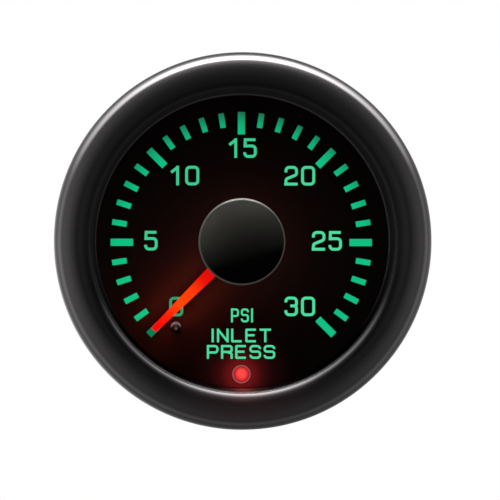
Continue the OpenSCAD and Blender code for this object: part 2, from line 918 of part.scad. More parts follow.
module control_board() {
    low = control_back - overrun;
    high = control_front + overrun;
    color("#1f6b45") upright() difference() {
        bar(control_r, control_back, control_front, large_fn);
        spacer_places() bar(screw_r + slip_gap, low, high, small_fn);
        header_places() block(header_pin_w + 2 * slip_gap, header_pin_w + 2 * slip_gap, low, high);
        pin_places() block(pin_w + 2 * slip_gap, pin_w + 2 * slip_gap, low, high);
    }
}

module board_spacers() {
    color("#c9a24a") upright() spacer_places() difference() {
        union() {
            bar(spacer_r, control_front, board_back);
            bar(spacer_peg_r, board_back, board_back + spacer_peg_h, small_fn);
        }
        bar(spacer_thread_r, control_front - overrun, control_front + screw_len, small_fn);
    }
}

// A slotted pan head screw: its head's seat is at level, and it points up from there.
module pan_screw(shank_r, shank_len, head_r, head_h, level) {
    bar(shank_r, level, level + shank_len, small_fn);
    difference() {
        bar(head_r, level - head_h, level, small_fn);
        block(2 * head_r + overrun, slot_w, level - head_h - overrun, level - head_h + slot_depth);
    }
}

module board_screws() {
    color("#c9ccd0") upright() spacer_places()
        pan_screw(screw_r, board_t + screw_len - overrun, screw_head_r, screw_head_h, control_back);
}

module board_header() {
    color("#2a2a2c") upright() {
        header_places()
            block(header_pin_w, header_pin_w, control_back - header_proud, board_front + header_proud);
        difference() {
            block(header_spacing, header_pins * header_spacing, board_back - header_block_h, board_back, [header_x, 0]);
            header_places() block(header_pin_w + 2 * press_gap, header_pin_w + 2 * press_gap,
                board_back - header_block_h - overrun, board_back + overrun);
        }
    }
}

module microcontroller() {
    body_back = control_back - chip_h;
    color("#202124") upright() translate(chip_at) {
        block(chip_w, chip_w, body_back, control_back);
        around(4) for (i = [0 : chip_leads - 1])
            block(chip_lead_len, chip_lead_w, control_back - chip_lead_t, control_back,
                [chip_w / 2 + chip_lead_len / 2, (i - (chip_leads - 1) / 2) * chip_lead_pitch]);
    }
}

module power_regulator() {
    half = regulator_size[1] / 2;
    color("#2b2c2f") upright() translate(regulator_at) {
        block(regulator_size[0], regulator_size[1], control_back - regulator_size[2], control_back);
        block(regulator_tab[0], regulator_tab[1], control_back - regulator_tab[2], control_back,
            [0, half + regulator_tab[1] / 2]);
        for (side = [-1, 1])
            block(regulator_lead[0], regulator_lead[1], control_back - regulator_lead[2], control_back,
                [side * regulator_lead_pitch, -half - regulator_lead[1] / 2]);
    }
}

module smoothing_capacitor() {
    color("#b9bcc2") upright() translate(capacitor_at) {
        block(capacitor_base, capacitor_base, control_back - capacitor_base_h, control_back);
        bar(capacitor_r, control_back - capacitor_h, control_back - capacitor_base_h);
    }
}

// Rear cover and connector

module stud_places() {
    for (side = [-1, 1]) translate([side * stud_spacing / 2, 0]) children();
}

module boss_places() {
    for (a = boss_angles) rotate([0, 0, a]) translate([boss_ring, 0]) children();
}

module rear_cover() {
    low = cover_back - overrun;
    high = cover_front + overrun;
    color("#18181a") upright() difference() {
        bar(cover_r, cover_back, cover_front, large_fn);
        stud_places() bar(stud_d / 2 + stud_gap, low, high);
        boss_places() bar(cover_screw_r + slip_gap, low, high, small_fn);
        block(shroud_w + 2 * slip_gap, shroud_h + 2 * slip_gap, low, high, [0, shroud_y]);
    }
}

module cover_seal() {
    color("#101010") upright() ring(cover_r - seal_w, cover_r, cover_front, seal_front);
}

module cover_screws() {
    color("#b9bcc0") upright() boss_places()
        pan_screw(cover_screw_r, cover_screw_len, cover_head_r, cover_head_h, cover_back);
}

// Connector shroud: an open box with a floor, an inner flange, a key rib and a latch.
module connector_shroud() {
    color("#1d1d1f") upright() difference() {
        union() {
            block(shroud_w, shroud_h, shroud_back, cover_front, [0, shroud_y]);
            block(shroud_w + 2 * shroud_flange_w, shroud_h + 2 * shroud_flange_w,
                cover_front, cover_front + shroud_flange_t, [0, shroud_y]);
            block(latch_w, 2 * latch_out, shroud_back + latch_len, shroud_back + 2 * latch_len,
                [0, shroud_y - shroud_h / 2]);
        }
        difference() {
            block(cavity_w, cavity_h, shroud_back - overrun, cavity_front, [0, shroud_y]);
            block(key_w, 2 * key_h, shroud_back, cavity_front, [0, shroud_y + cavity_h / 2]);
        }
        pin_places() block(pin_w + 2 * press_gap, pin_w + 2 * press_gap,
            cavity_front - overrun, cover_front + shroud_flange_t + overrun);
    }
}

module connector_pins() {
    color("#d8c27a") upright() pin_places()
        block(pin_w, pin_w, cavity_front - pin_proud, control_front + pin_tail);
}

// Studs, clamp and nuts

module mounting_studs() {
    stud_r = stud_d / 2;
    stud_end = cover_back - stud_len;
    color("#c4c7cb") upright() stud_places() {
        bar(stud_head_r, cover_front, cover_front + stud_head_t);
        bar(stud_r, stud_end + stud_chamfer, cover_front);
        translate([0, 0, stud_end])
            cylinder(r1 = stud_r - stud_chamfer, r2 = stud_r, h = stud_chamfer, $fn = mid_fn);
    }
}

module stud_nuts() {
    corner_r = stud_nut_across / 2 / cos(30);
    color("#b9bcc0") upright() stud_places() difference() {
        bar(corner_r, cover_back - stud_nut_h, cover_back, 6);
        bar(stud_d / 2 + nut_thread_gap, cover_back - stud_nut_h - overrun, cover_back + overrun);
    }
}

// Clamp: a U of steel strap. Its feet press the panel from behind, and the studs pass its cross bar.
module clamp_bracket() {
    color("#9a9da2") upright() difference() {
        translate([0, strap_w / 2]) rotate([90, 0, 0]) linear_extrude(strap_w) difference() {
            clamp_side(clamp_outer_x, bar_back, clamp_bend + strap_t);
            clamp_side(clamp_inner_x, bar_front, clamp_bend);
            translate([-2 * clamp_outer_x, foot_back]) square([4 * clamp_outer_x, barrel_len]);
        }
        stud_places() bar(stud_d / 2 + clamp_hole_gap, bar_back - overrun, bar_front + overrun);
    }
}

// One side of the strap's U, as a plate with two round lower corners.
module clamp_side(half_w, low, round) {
    translate([-half_w, low + round]) square([2 * half_w, overrun + foot_back - low - round]);
    translate([-half_w + round, low]) square([2 * (half_w - round), round]);
    for (side = [-1, 1]) translate([side * (half_w - round), low + round]) circle(r = round, $fn = mid_fn);
}

module clamp_washers() {
    color("#c4c7cb") upright() stud_places()
        ring(stud_d / 2 + clamp_hole_gap, washer_r, bar_back - washer_t, bar_back, mid_fn);
}

// Knurled nut: a ribbed head with a plain collar against the washer.
module thumb_nut(side) {
    head_front = nut_back + nut_h - nut_collar_h;
    ribs = [
        for (i = [0 : 2 * knurl_count - 1])
            let (a = i * 180 / knurl_count, r = nut_d / 2 - (i % 2) * knurl_depth) [r * cos(a), r * sin(a)]
    ];
    color("#c9a24a") upright() translate([side * stud_spacing / 2, 0]) difference() {
        union() {
            translate([0, 0, nut_back]) linear_extrude(head_front - nut_back) polygon(ribs);
            bar(nut_collar_r, head_front, nut_back + nut_h);
        }
        bar(stud_d / 2 + nut_thread_gap, nut_back - overrun, nut_back + nut_h + overrun);
    }
}

bezel();
lens();
lens_gasket();
can();
shadow_ring();
dial_plate();
scale_marks();
stop_pin();
light_guide();
light_housing();
warning_lamp();
dial_lamps();
pointer_lamps();
display_board();
pointer_needle();
pointer_cap();
pointer_hub();
motor_shaft();
output_gear();
idler_gear();
rotor_pinion();
rotor_magnet();
stator();
coil_bobbins();
coil_windings();
motor_housing();
motor_base();
motor_pins();
control_board();
board_spacers();
board_screws();
board_header();
microcontroller();
power_regulator();
smoothing_capacitor();
rear_cover();
cover_seal();
cover_screws();
connector_shroud();
connector_pins();
mounting_studs();
stud_nuts();
clamp_bracket();
clamp_washers();
thumb_nut(-1);  // thumb_nut_left
thumb_nut(1);  // thumb_nut_right
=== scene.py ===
# Electric boost gauge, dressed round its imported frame. Sizes are in millimetres until they are used.
import json
import math

import bpy
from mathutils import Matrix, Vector

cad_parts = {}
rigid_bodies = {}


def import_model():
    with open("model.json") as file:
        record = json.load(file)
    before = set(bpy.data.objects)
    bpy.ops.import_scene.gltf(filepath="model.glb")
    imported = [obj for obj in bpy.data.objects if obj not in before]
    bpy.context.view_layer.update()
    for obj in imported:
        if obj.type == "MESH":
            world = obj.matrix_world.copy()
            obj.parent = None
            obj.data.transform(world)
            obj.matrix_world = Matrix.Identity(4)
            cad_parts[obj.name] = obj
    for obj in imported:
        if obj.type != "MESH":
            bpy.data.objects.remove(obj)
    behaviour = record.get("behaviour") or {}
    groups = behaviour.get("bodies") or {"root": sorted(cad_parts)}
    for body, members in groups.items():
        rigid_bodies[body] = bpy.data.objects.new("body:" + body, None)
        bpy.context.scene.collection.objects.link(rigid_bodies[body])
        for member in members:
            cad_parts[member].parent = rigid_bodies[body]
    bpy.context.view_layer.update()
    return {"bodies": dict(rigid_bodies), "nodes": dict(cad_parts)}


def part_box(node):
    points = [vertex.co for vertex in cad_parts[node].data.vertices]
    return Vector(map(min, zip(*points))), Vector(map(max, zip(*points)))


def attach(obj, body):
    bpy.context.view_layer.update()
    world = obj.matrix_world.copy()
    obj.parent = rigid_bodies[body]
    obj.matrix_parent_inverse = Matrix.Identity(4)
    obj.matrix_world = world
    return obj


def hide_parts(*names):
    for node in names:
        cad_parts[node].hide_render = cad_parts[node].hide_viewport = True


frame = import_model()
nodes = frame["nodes"]
mm = 0.001
print("frame loaded,", len(nodes), "nodes")


# What the frame says, in millimetres

def nodeBox(node):
    low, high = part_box(node)
    return low / mm, high / mm


bezelLow, bezelHigh = nodeBox("bezel")
lensLow, lensHigh = nodeBox("lens")
capLow, capHigh = nodeBox("pointer_cap")
lampLow, lampHigh = nodeBox("warning_lamp")
studLow, studHigh = nodeBox("mounting_studs")
dialFront = nodeBox("dial_plate")[0].y
lampMiddle = Vector(((lampLow.x + lampHigh.x) / 2, dialFront, (lampLow.z + lampHigh.z) / 2))
# the needle lies along this direction at rest, down to the left
needleRest = (-math.sqrt(0.5), 0, -math.sqrt(0.5))


# Small tools

def hexColour(code):
    # a display colour, as linear light
    parts = [int(code[i : i + 2], 16) / 255 for i in (1, 3, 5)]
    return tuple(p / 12.92 if p <= 0.04045 else ((p + 0.055) / 1.055) ** 2.4 for p in parts) + (1,)


def selectOnly(piece):
    bpy.ops.object.select_all(action="DESELECT")
    piece.select_set(True)
    bpy.context.view_layer.objects.active = piece


def addNode(tree, kind, settings=None, links=None):
    node = tree.nodes.new(kind)
    for key, value in (settings or {}).items():
        if isinstance(key, str) and hasattr(node, key):
            setattr(node, key, value)
        else:
            node.inputs[key].default_value = value
    for key, source in (links or {}).items():
        tree.links.new(source, node.inputs[key])
    return node


def principled(tree):
    return tree.nodes["Principled BSDF"]


def newMaterial(name, look):
    material = bpy.data.materials.new(name)
    material.use_nodes = True
    for socket, value in look.items():
        principled(material.node_tree).inputs[socket].default_value = value
    return material


def objectPlace(tree):
    return addNode(tree, "ShaderNodeTexCoord").outputs["Object"]


grainLook = {"detail": 4, "strength": 0.6, "shadeStops": (0.3, 0.7)}


def addGrain(material, grain, height, roughness, shades=None, stretch=(1, 1, 1)):
    # noise of a real grain size, in bump, roughness and, with shades, colour
    tree = material.node_tree
    shader = principled(tree)
    place = addNode(tree, "ShaderNodeMapping", {"Scale": stretch}, {"Vector": objectPlace(tree)})
    settings = {"Scale": 1 / (grain * mm), "Detail": grainLook["detail"]}
    noise = addNode(tree, "ShaderNodeTexNoise", settings, {"Vector": place.outputs[0]}).outputs[0]
    settings = {"Strength": grainLook["strength"], "Distance": height * mm}
    bump = addNode(tree, "ShaderNodeBump", settings, {"Height": noise})
    tree.links.new(bump.outputs[0], shader.inputs["Normal"])
    tree.links.new(spread(tree, noise, 0, 1, *roughness), shader.inputs["Roughness"])
    if shades:
        stops = list(zip(grainLook["shadeStops"], shades))
        tree.links.new(fillRamp(tree, noise, stops), shader.inputs["Base Color"])
    return material


def fillRamp(tree, source, stops):
    # a colour ramp from (position, hex colour or grey level) pairs
    ramp = addNode(tree, "ShaderNodeValToRGB", links={"Fac": source})
    elements = ramp.color_ramp.elements
    while len(elements) < len(stops):
        elements.new(0.5)
    for element, (position, code) in zip(elements, stops):
        element.position = position
        element.color = hexColour(code) if isinstance(code, str) else (code, code, code, 1)
    return ramp.outputs[0]


def mathNode(tree, operation, first, second):
    # second is a socket or a number
    if isinstance(second, (int, float)):
        return addNode(tree, "ShaderNodeMath", {"operation": operation, 1: second}, {0: first}).outputs[0]
    return addNode(tree, "ShaderNodeMath", {"operation": operation}, {0: first, 1: second}).outputs[0]


def addColours(tree, first, second):
    return addNode(tree, "ShaderNodeVectorMath", {"operation": "ADD"}, {0: first, 1: second}).outputs[0]


def scaleColour(tree, colour, amount):
    links = {0: colour, "Scale": amount}
    return addNode(tree, "ShaderNodeVectorMath", {"operation": "SCALE"}, links).outputs[0]


def spread(tree, value, low, high, start=0.0, end=1.0):
    # goes from start to end as the value goes from low to high
    settings = {"From Min": low, "From Max": high, "To Min": start, "To Max": end}
    return addNode(tree, "ShaderNodeMapRange", settings, {"Value": value}).outputs[0]


def lengthShare(tree, length, low, high, start=0.0, end=1.0):
    # the same for a length, between millimetres
    return spread(tree, length, low * mm, high * mm, start, end)


def placeScaled(tree, scale=(1, 0, 1)):
    # the place on the piece, scaled along its axes; as given, its depth is left out
    settings = {"operation": "MULTIPLY", 1: scale}
    return addNode(tree, "ShaderNodeVectorMath", settings, {0: objectPlace(tree)}).outputs[0]


def distanceTo(tree, place, point):
    # how far a place is from a point that is given in millimetres
    settings = {"operation": "DISTANCE", 1: [part * mm for part in point]}
    return addNode(tree, "ShaderNodeVectorMath", settings, {0: place}).outputs["Value"]


def alongLine(tree, direction):
    # how far the place is from the gauge's axis, along a direction
    settings = {"operation": "DOT_PRODUCT", 1: direction}
    return addNode(tree, "ShaderNodeVectorMath", settings, {0: objectPlace(tree)}).outputs["Value"]


def upperShare(tree):
    # 0 low on the dial, 1 in its upper half
    return lengthShare(tree, alongLine(tree, (0, 0, 1)), -15, 0)


def glowWith(tree, colour):
    # emitted light in the colour given: the ink's, needle's and lamp's own, and painted light on the dial,
    # bezel, cap and pin
    shader = principled(tree)
    tree.links.new(colour, shader.inputs["Emission Color"])
    shader.inputs["Emission Strength"].default_value = 1.0


def clearWhere(tree, passing):
    # the material is clear wherever passing is 1
    clear = addNode(tree, "ShaderNodeBsdfTransparent")
    links = {0: passing, 1: principled(tree).outputs[0], 2: clear.outputs[0]}
    mixed = addNode(tree, "ShaderNodeMixShader", links=links)
    tree.links.new(mixed.outputs[0], tree.nodes["Material Output"].inputs[0])


def rounded(corners, steps):
    # corners are (across, along, fillet); gives the outline's points with each fillet as an arc
    points = []
    for i, (across, along, fillet) in enumerate(corners):
        here = Vector((across, along))
        if not fillet:
            points.append(here)
            continue
        before = (Vector(corners[i - 1][:2]) - here).normalized()
        after = (Vector(corners[(i + 1) % len(corners)][:2]) - here).normalized()
        half = before.angle(after) / 2
        centre = here + (before + after).normalized() * fillet / math.sin(half)
        start = here + before * fillet / math.tan(half) - centre
        end = here + after * fillet / math.tan(half) - centre
        points += [centre + start.slerp(end, k / steps) * fillet for k in range(steps + 1)]
    return points


def arcPoints(centre, radius, start, end, steps):
    turns = [math.radians(start + (end - start) * k / steps) for k in range(steps + 1)]
    return [Vector((centre[0] + radius * math.cos(a), centre[1] + radius * math.sin(a))) for a in turns]


mergeGap = {"turned": 0.001, "copied": 0.0005}


def turnedPiece(name, outline, sides, smoothAngle=32):
    # an outline of (radius, depth) points, spun round the gauge's axis
    bpy.ops.object.select_all(action="DESELECT")
    bpy.ops.mesh.primitive_circle_add(vertices=len(outline), radius=mm)
    piece = bpy.context.object
    piece.name = name
    for vertex, (radius, depth) in zip(piece.data.vertices, outline):
        vertex.co = (radius * mm, depth * mm, 0)
    bpy.ops.object.mode_set(mode="EDIT")
    bpy.ops.mesh.select_all(action="SELECT")
    bpy.ops.mesh.spin(steps=sides, angle=2 * math.pi, center=(0, 0, 0), axis=(0, 1, 0))
    bpy.ops.mesh.select_all(action="SELECT")
    bpy.ops.mesh.remove_doubles(threshold=mergeGap["turned"] * mm)
    bpy.ops.mesh.delete_loose()
    bpy.ops.mesh.select_all(action="SELECT")
    bpy.ops.mesh.normals_make_consistent(inside=False)
    bpy.ops.object.mode_set(mode="OBJECT")
    bpy.ops.object.shade_smooth_by_angle(angle=math.radians(smoothAngle))
    return piece


copyAngles = {"flat": 0.4, "sharp": 35, "smooth": 32}


def finishedCopy(node, name, bevel, segments=2):
    # a CAD node's shape, merged, with its sharp edges broken
    piece = bpy.data.objects.new(name, nodes[node].data.copy())
    bpy.context.scene.collection.objects.link(piece)
    piece.data.materials.clear()
    selectOnly(piece)
    bpy.ops.object.mode_set(mode="EDIT")
    bpy.ops.mesh.select_all(action="SELECT")
    bpy.ops.mesh.remove_doubles(threshold=mergeGap["copied"] * mm)
    bpy.ops.mesh.dissolve_limited(angle_limit=math.radians(copyAngles["flat"]))
    bpy.ops.object.mode_set(mode="OBJECT")
    if bevel:
        bpy.ops.object.modifier_add(type="BEVEL")
        edge = piece.modifiers[-1]
        edge.width = bevel * mm
        edge.segments = segments
        edge.limit_method = "ANGLE"
        edge.angle_limit = math.radians(copyAngles["sharp"])
        bpy.ops.object.modifier_apply(modifier=edge.name)
    bpy.ops.object.shade_smooth_by_angle(angle=math.radians(copyAngles["smooth"]))
    return piece


def dress(piece, material, body, replaced=()):
    piece.data.materials.clear()
    piece.data.materials.append(material)
    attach(piece, body)
    for node in replaced:
        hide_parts(node)
    return piece


# Materials

bezelLook = {
    "band": (23.9, 27.0),
    # sheen strength painted across the band, one curve for the lower half and one for the upper
    "lowSheen": [(0, 0), (0.1, 0.17), (0.19, 0.1), (0.3, 0.036), (0.41, 0.034), (0.55, 0.09), (1, 0.5)],
    "highSheen": [(0, 0), (0.1, 0.05), (0.19, 0.028), (0.3, 0.036), (0.41, 0.045), (0.55, 0.09), (1, 0.5)],
    # painted room light, added on the upper half
    "faint": [
        (0.1, "#111112"),
        (0.2, "#0a0a0a"),
        (0.3, "#080808"),
        (0.41, "#0c0c0c"),
        (0.7, "#0a0a0b"),
        (1, "#000000"),
    ],
    "wall": (23.9, 24.4),
    "wallRoughness": (0.9, 0.0),
    "lip": (25.0, 25.9),
    "lipRoughness": (0.12, 0.25),
    # painted red light of the lamp, spread on the bezel below it
    "spillSqueeze": 0.55,
    "spillDrop": 2.7,
    "spillReach": 6.5,
    "paintedLampSpill": [(0, "#7a3430"), (0.1, "#5c2826"), (0.17, "#3c1e1d"), (0.35, "#170a0b"), (1, "#000000")],
}


def blackAnodised(s):
    # bead-blasted and black anodised aluminium: deep satin black, dull by the glass and smoother on the lip,
    # with painted red light of the lamp below it, painted room light above, and its sheen strength painted
    # by radius and half
    material = newMaterial("blackAnodisedAluminium", {"IOR": 2.1, "Specular Tint": (1.0, 0.95, 0.98, 1)})
    addGrain(material, grain=0.12, height=0.002, roughness=(0.2, 0.25), shades=("#070708", "#0b0b0d"))
    tree = material.node_tree
    shader = principled(tree)
    radius = distanceTo(tree, placeScaled(tree), (0, 0, 0))
    band = lengthShare(tree, radius, *s["band"])
    upper = upperShare(tree)
    # painted sheen strength, by radius and by upper or lower half
    sheens = {2: fillRamp(tree, band, s["lowSheen"]), 3: fillRamp(tree, band, s["highSheen"])}
    sheen = addNode(tree, "ShaderNodeMix", links={0: upper, **sheens})
    tree.links.new(sheen.outputs[0], shader.inputs["Specular IOR Level"])
    # painted red light of the lamp, squeezed sideways round a point below it
    squeeze = s["spillSqueeze"]
    spillMiddle = (squeeze * lampMiddle.x, 0, lampMiddle.z - s["spillDrop"])
    away = distanceTo(tree, placeScaled(tree, (squeeze, 0, 1)), spillMiddle)
    red = fillRamp(tree, lengthShare(tree, away, 0, s["spillReach"]), s["paintedLampSpill"])
    # painted room light, on the upper half only
    faint = scaleColour(tree, fillRamp(tree, band, s["faint"]), upper)
    glowWith(tree, addColours(tree, red, faint))
    grain = shader.inputs["Roughness"].links[0].from_socket
    lip = mathNode(tree, "MINIMUM", lengthShare(tree, radius, *s["lip"], *s["lipRoughness"]), grain)
    dull = mathNode(tree, "MAXIMUM", lengthShare(tree, radius, *s["wall"], *s["wallRoughness"]), lip)
    tree.links.new(dull, shader.inputs["Roughness"])
    return material


def blackPaint():
    # powder coat on the steel can: fine orange peel
    material = newMaterial("blackPowderCoat", {"IOR": 1.5})
    return addGrain(material, grain=0.35, height=0.015, roughness=(0.38, 0.5), shades=("#0d0d0e", "#161617"))


def coatedGlass():
    # flat glass with a low-reflection coating: nearly invisible from the front, a faint sheen at an angle
    look = {"IOR": 1.16, "Roughness": 0.0, "Transmission Weight": 1.0, "Base Color": hexColour("#f6fbfa")}
    material = newMaterial("coatedGlass", look)
    tree = material.node_tree
    path = addNode(tree, "ShaderNodeLightPath")
    passing = path.outputs["Is Shadow Ray"]
    for kind in ("Is Diffuse Ray", "Is Glossy Ray"):
        passing = mathNode(tree, "MAXIMUM", passing, path.outputs[kind])
    clearWhere(tree, passing)
    return material


# painted red glow on the dial round the lamp and round the hub
paintedDialGlow = {
    "lampReach": 8.0,
    "lamp": [(0, "#7a1412"), (0.25, "#641012"), (0.42, "#38080a"), (0.62, "#180405"), (1, "#000000")],
    "hubReach": 19.0,
    "hub": [(0, "#120604"), (0.4, "#110604"), (0.62, "#070202"), (1, "#000000")],
}


def printedDial(s):
    # matte black screen print on the dial, with a painted red glow round the lamp and the hub, standing for
    # their light on it
    look = {"Base Color": (0.022, 0.0066, 0.005, 1), "Specular IOR Level": 0.02}
    material = newMaterial("blackScreenPrint", look)
    addGrain(material, grain=0.2, height=0.002, roughness=(0.6, 0.7))
    tree = material.node_tree
    # painted red glow round each light source
    glows = []
    for source, middle in (("lamp", lampMiddle), ("hub", (0, dialFront, 0))):
        away = distanceTo(tree, objectPlace(tree), middle)
        near = lengthShare(tree, away, 0, s[source + "Reach"])
        glows.append(fillRamp(tree, near, s[source]))
    glowWith(tree, addColours(tree, *glows))
    return material


inkLook = {
    "scale": [(0, "#10c082"), (0.5, "#12a873"), (1, "#186a4c")],
    "words": [(0, "#4ddea0"), (0.6, "#4ddea0"), (1, "#3ccb90")],
    "zero": [(0, "#2f9a6a"), (1, "#3a9a6c")],
    # painted shadow of the resting needle's tip: its darkening, then its place and radius
    "shade": [(0, "#a3a3a3"), (0.8, "#b4b4b4"), (1, "#ffffff")],
    "tipShade": (-14.2, -14.2, 2.9),
}


def litInk(name, stops, middle, reach, shaded=None):
    # translucent green ink lit from behind: the light fades away from a point on the dial, given in mm;
    # shaded is a painted shadow, a darker spot given as across, up and radius
    look = {"Roughness": 0.6, "Base Color": hexColour("#020a06"), "Specular IOR Level": 0.05}
    material = newMaterial(name, look)
    tree = material.node_tree
    place = objectPlace(tree)
    away = distanceTo(tree, place, (middle[0], dialFront, middle[1]))
    glow = fillRamp(tree, lengthShare(tree, away, *reach), stops)
    if shaded:
        across, up, radius = shaded
        near = distanceTo(tree, place, (across, dialFront, up))
        dim = fillRamp(tree, lengthShare(tree, near, 0, radius), inkLook["shade"])
        settings = {"operation": "MULTIPLY"}
        glow = addNode(tree, "ShaderNodeVectorMath", settings, {0: glow, 1: dim}).outputs[0]
    glowWith(tree, glow)
    return material


needleLook = {
    "reach": (5, 20.2),
    "stops": [
        (0.12, "#dc0004"),
        (0.25, "#ea0600"),
        (0.42, "#ff3a00"),
        (0.58, "#ff4600"),
        (0.76, "#ff1c00"),
        (0.9, "#f80000"),
    ],
}


def litNeedle(s):
    # edge-lit red acrylic: red at both ends, orange along the middle
    look = {"Roughness": 0.4, "Base Color": hexColour("#200202"), "Specular IOR Level": 0.04}
    material = newMaterial("edgeLitAcrylic", look)
    tree = material.node_tree
    share = lengthShare(tree, alongLine(tree, needleRest), *s["reach"])
    glowWith(tree, fillRamp(tree, share, s["stops"]))
    return material


lampLook = {
    "radius": 1.5,
    "stops": [
        (0, "#ff5048"),
        (0.4, "#ff4a45"),
        (0.66, "#de242b"),
        (0.82, "#96191f"),
        (0.88, "#a05a5b"),
        (0.95, "#915456"),
        (1, "#4c1015"),
    ],
}


def litLamp(s):
    # diffused red epoxy, glowing at its middle, with a paler edge
    look = {"Roughness": 0.35, "Base Color": hexColour("#50070a"), "Specular IOR Level": 0.1}
    material = newMaterial("diffusedRedEpoxy", look)
    tree = material.node_tree
    away = distanceTo(tree, placeScaled(tree), (lampMiddle.x, 0, lampMiddle.z))
    glowWith(tree, fillRamp(tree, lengthShare(tree, away, 0, s["radius"]), s["stops"]))
    return material


capLook = {
    "sheenLine": (-0.28, 0, 0.96),
    "sheenReach": (-7, 7),
    # painted sheen strength, from the upper left downward
    "sheen": [(0, 0), (0.26, 0), (0.45, 0.14), (0.8, 0.5), (1, 0.5)],
    # painted highlight round the rim
    "rimReach": (6, 7),
    "rim": [(0, "#000000"), (0.64, "#000000"), (0.7, "#3c3937"), (1, "#3c3937")],
}


def satinCap(s):
    # spun hub cap in satin black paint: its sheen is painted to fade from the upper left downward, and a
    # painted highlight runs round its rim
    material = newMaterial("satinBlackPaint", {"IOR": 2.1, "Specular Tint": (1.0, 0.95, 0.84, 1)})
    addGrain(material, grain=0.3, height=0.0003, roughness=(0.3, 0.34), shades=("#050504", "#070605"))
    tree = material.node_tree
    # painted sheen, fading from the upper left
    height = lengthShare(tree, alongLine(tree, s["sheenLine"]), *s["sheenReach"])
    tree.links.new(fillRamp(tree, height, s["sheen"]), principled(tree).inputs["Specular IOR Level"])
    # painted highlight round the rim
    radius = distanceTo(tree, placeScaled(tree), (0, 0, 0))
    glowWith(tree, fillRamp(tree, lengthShare(tree, radius, *s["rimReach"]), s["rim"]))
    return material


pinLook = {
    # painted highlight arc round the dome's upper edge
    "arc": [(0, "#000000"), (0.6, "#0c0807"), (0.76, "#8f7672"), (0.92, "#5d4a47"), (1, "#0c0807")],
    "arcRise": (-0.15, 0.35),
    # painted highlight dot low on the pin's top
    "dotDrop": 0.3,
    "dotReach": 0.45,
    "dot": [(0, "#6e5450"), (0.4, "#4c3835"), (1, "#000000")],
}


def blackenedPin(s):
    # blackened steel of the stop pin, with painted highlights: an arc round the upper edge of its dome and a
    # dot low on its top
    material = newMaterial("blackenedSteelPin", {"IOR": 1.5, "Specular IOR Level": 0.3})
    addGrain(material, grain=0.2, height=0.001, roughness=(0.3, 0.4), shades=("#0c0605", "#120908"))
    tree = material.node_tree
    pinLow, pinHigh = nodeBox("stop_pin")
    middle = (pinLow + pinHigh) / 2
    reach = (pinHigh.x - pinLow.x) / 2
    flat = placeScaled(tree)
    # painted highlight arc, on the upper part only
    away = distanceTo(tree, flat, (middle.x, 0, middle.z))
    arc = fillRamp(tree, lengthShare(tree, away, 0, reach), s["arc"])
    low, high = [middle.z + rise * reach for rise in s["arcRise"]]
    arc = scaleColour(tree, arc, lengthShare(tree, alongLine(tree, (0, 0, 1)), low, high))
    # painted highlight dot
    near = distanceTo(tree, flat, (middle.x, 0, middle.z - s["dotDrop"] * reach))
    dot = fillRamp(tree, lengthShare(tree, near, 0, s["dotReach"] * reach), s["dot"])
    glowWith(tree, addColours(tree, arc, dot))
    return material


def matteBlackPlastic():
    # glass-filled nylon: dull black with a fine spark-eroded texture
    material = newMaterial("texturedBlackNylon", {"IOR": 1.5})
    return addGrain(material, grain=0.25, height=0.02, roughness=(0.5, 0.62), shades=("#121213", "#1b1b1c"))


def zincSteel():
    # zinc-plated strip steel: bluish grey with faint cloudy spangle
    material = newMaterial("zincPlatedSteel", {"Metallic": 1.0})
    return addGrain(material, grain=1.2, height=0.006, roughness=(0.28, 0.42), shades=("#8d9196", "#b4b8bc"))


def turnedBrass():
    # turned brass of the thumb nuts and spacers: fine rings left by the tool
    material = newMaterial("turnedBrass", {"Metallic": 1.0})
    return addGrain(
        material,
        grain=0.4,
        height=0.006,
        roughness=(0.25, 0.38),
        shades=("#b08a45", "#cba45c"),
        stretch=(0.2, 6, 0.2),
    )


def goldFlash():
    # thin gold over nickel on contact pins: warm and bright
    material = newMaterial("goldFlashedPins", {"Metallic": 1.0})
    return addGrain(material, grain=0.3, height=0.003, roughness=(0.2, 0.3), shades=("#c8a659", "#dcbf74"))


def blackRubber():
    # nitrile rubber: dull black with a faint bloom
    material = newMaterial("nitrileRubber", {"IOR": 1.5})
    return addGrain(material, grain=0.4, height=0.01, roughness=(0.75, 0.9), shades=("#0c0c0c", "#151515"))


def solderMask():
    # glass-epoxy board under solder mask: deep green with a soft gloss
    material = newMaterial("greenSolderMask", {"IOR": 1.5})
    return addGrain(material, grain=0.6, height=0.004, roughness=(0.25, 0.4), shades=("#0d4a2a", "#15603a"))


def plainPlastic(name, dark, light, roughness=(0.4, 0.55)):
    # moulded engineering plastic: even colour with a faint mould texture
    material = newMaterial(name, {"IOR": 1.5})
    return addGrain(material, grain=0.5, height=0.004, roughness=roughness, shades=(dark, light))


# painted light and sheen on the sleeve's edge, high on the dial only
sleeveLook = {"glow": "#201e1e", "sheen": 0.2}


def dullSleeve(s):
    # dull black acetal of the sleeve: painted grey light and painted sheen on its edge high on the dial,
    # none low down
    material = plainPlastic("dullBlackAcetal", "#0c0c0d", "#111112", roughness=(0.55, 0.65))
    tree = material.node_tree
    shader = principled(tree)
    upper = upperShare(tree)
    # painted grey light on the upper half
    shader.inputs["Emission Color"].default_value = hexColour(s["glow"])
    tree.links.new(upper, shader.inputs["Emission Strength"])
    tree.links.new(spread(tree, upper, 0, 1, 0, s["sheen"]), shader.inputs["Specular IOR Level"])
    return material


def clearAcrylic():
    # polished clear acrylic of the light guide: see-through, with bright edges
    look = {"IOR": 1.49, "Transmission Weight": 1.0, "Base Color": hexColour("#eefaf4")}
    material = newMaterial("clearAcrylic", look)
    return addGrain(material, grain=1.0, height=0.001, roughness=(0.02, 0.08))


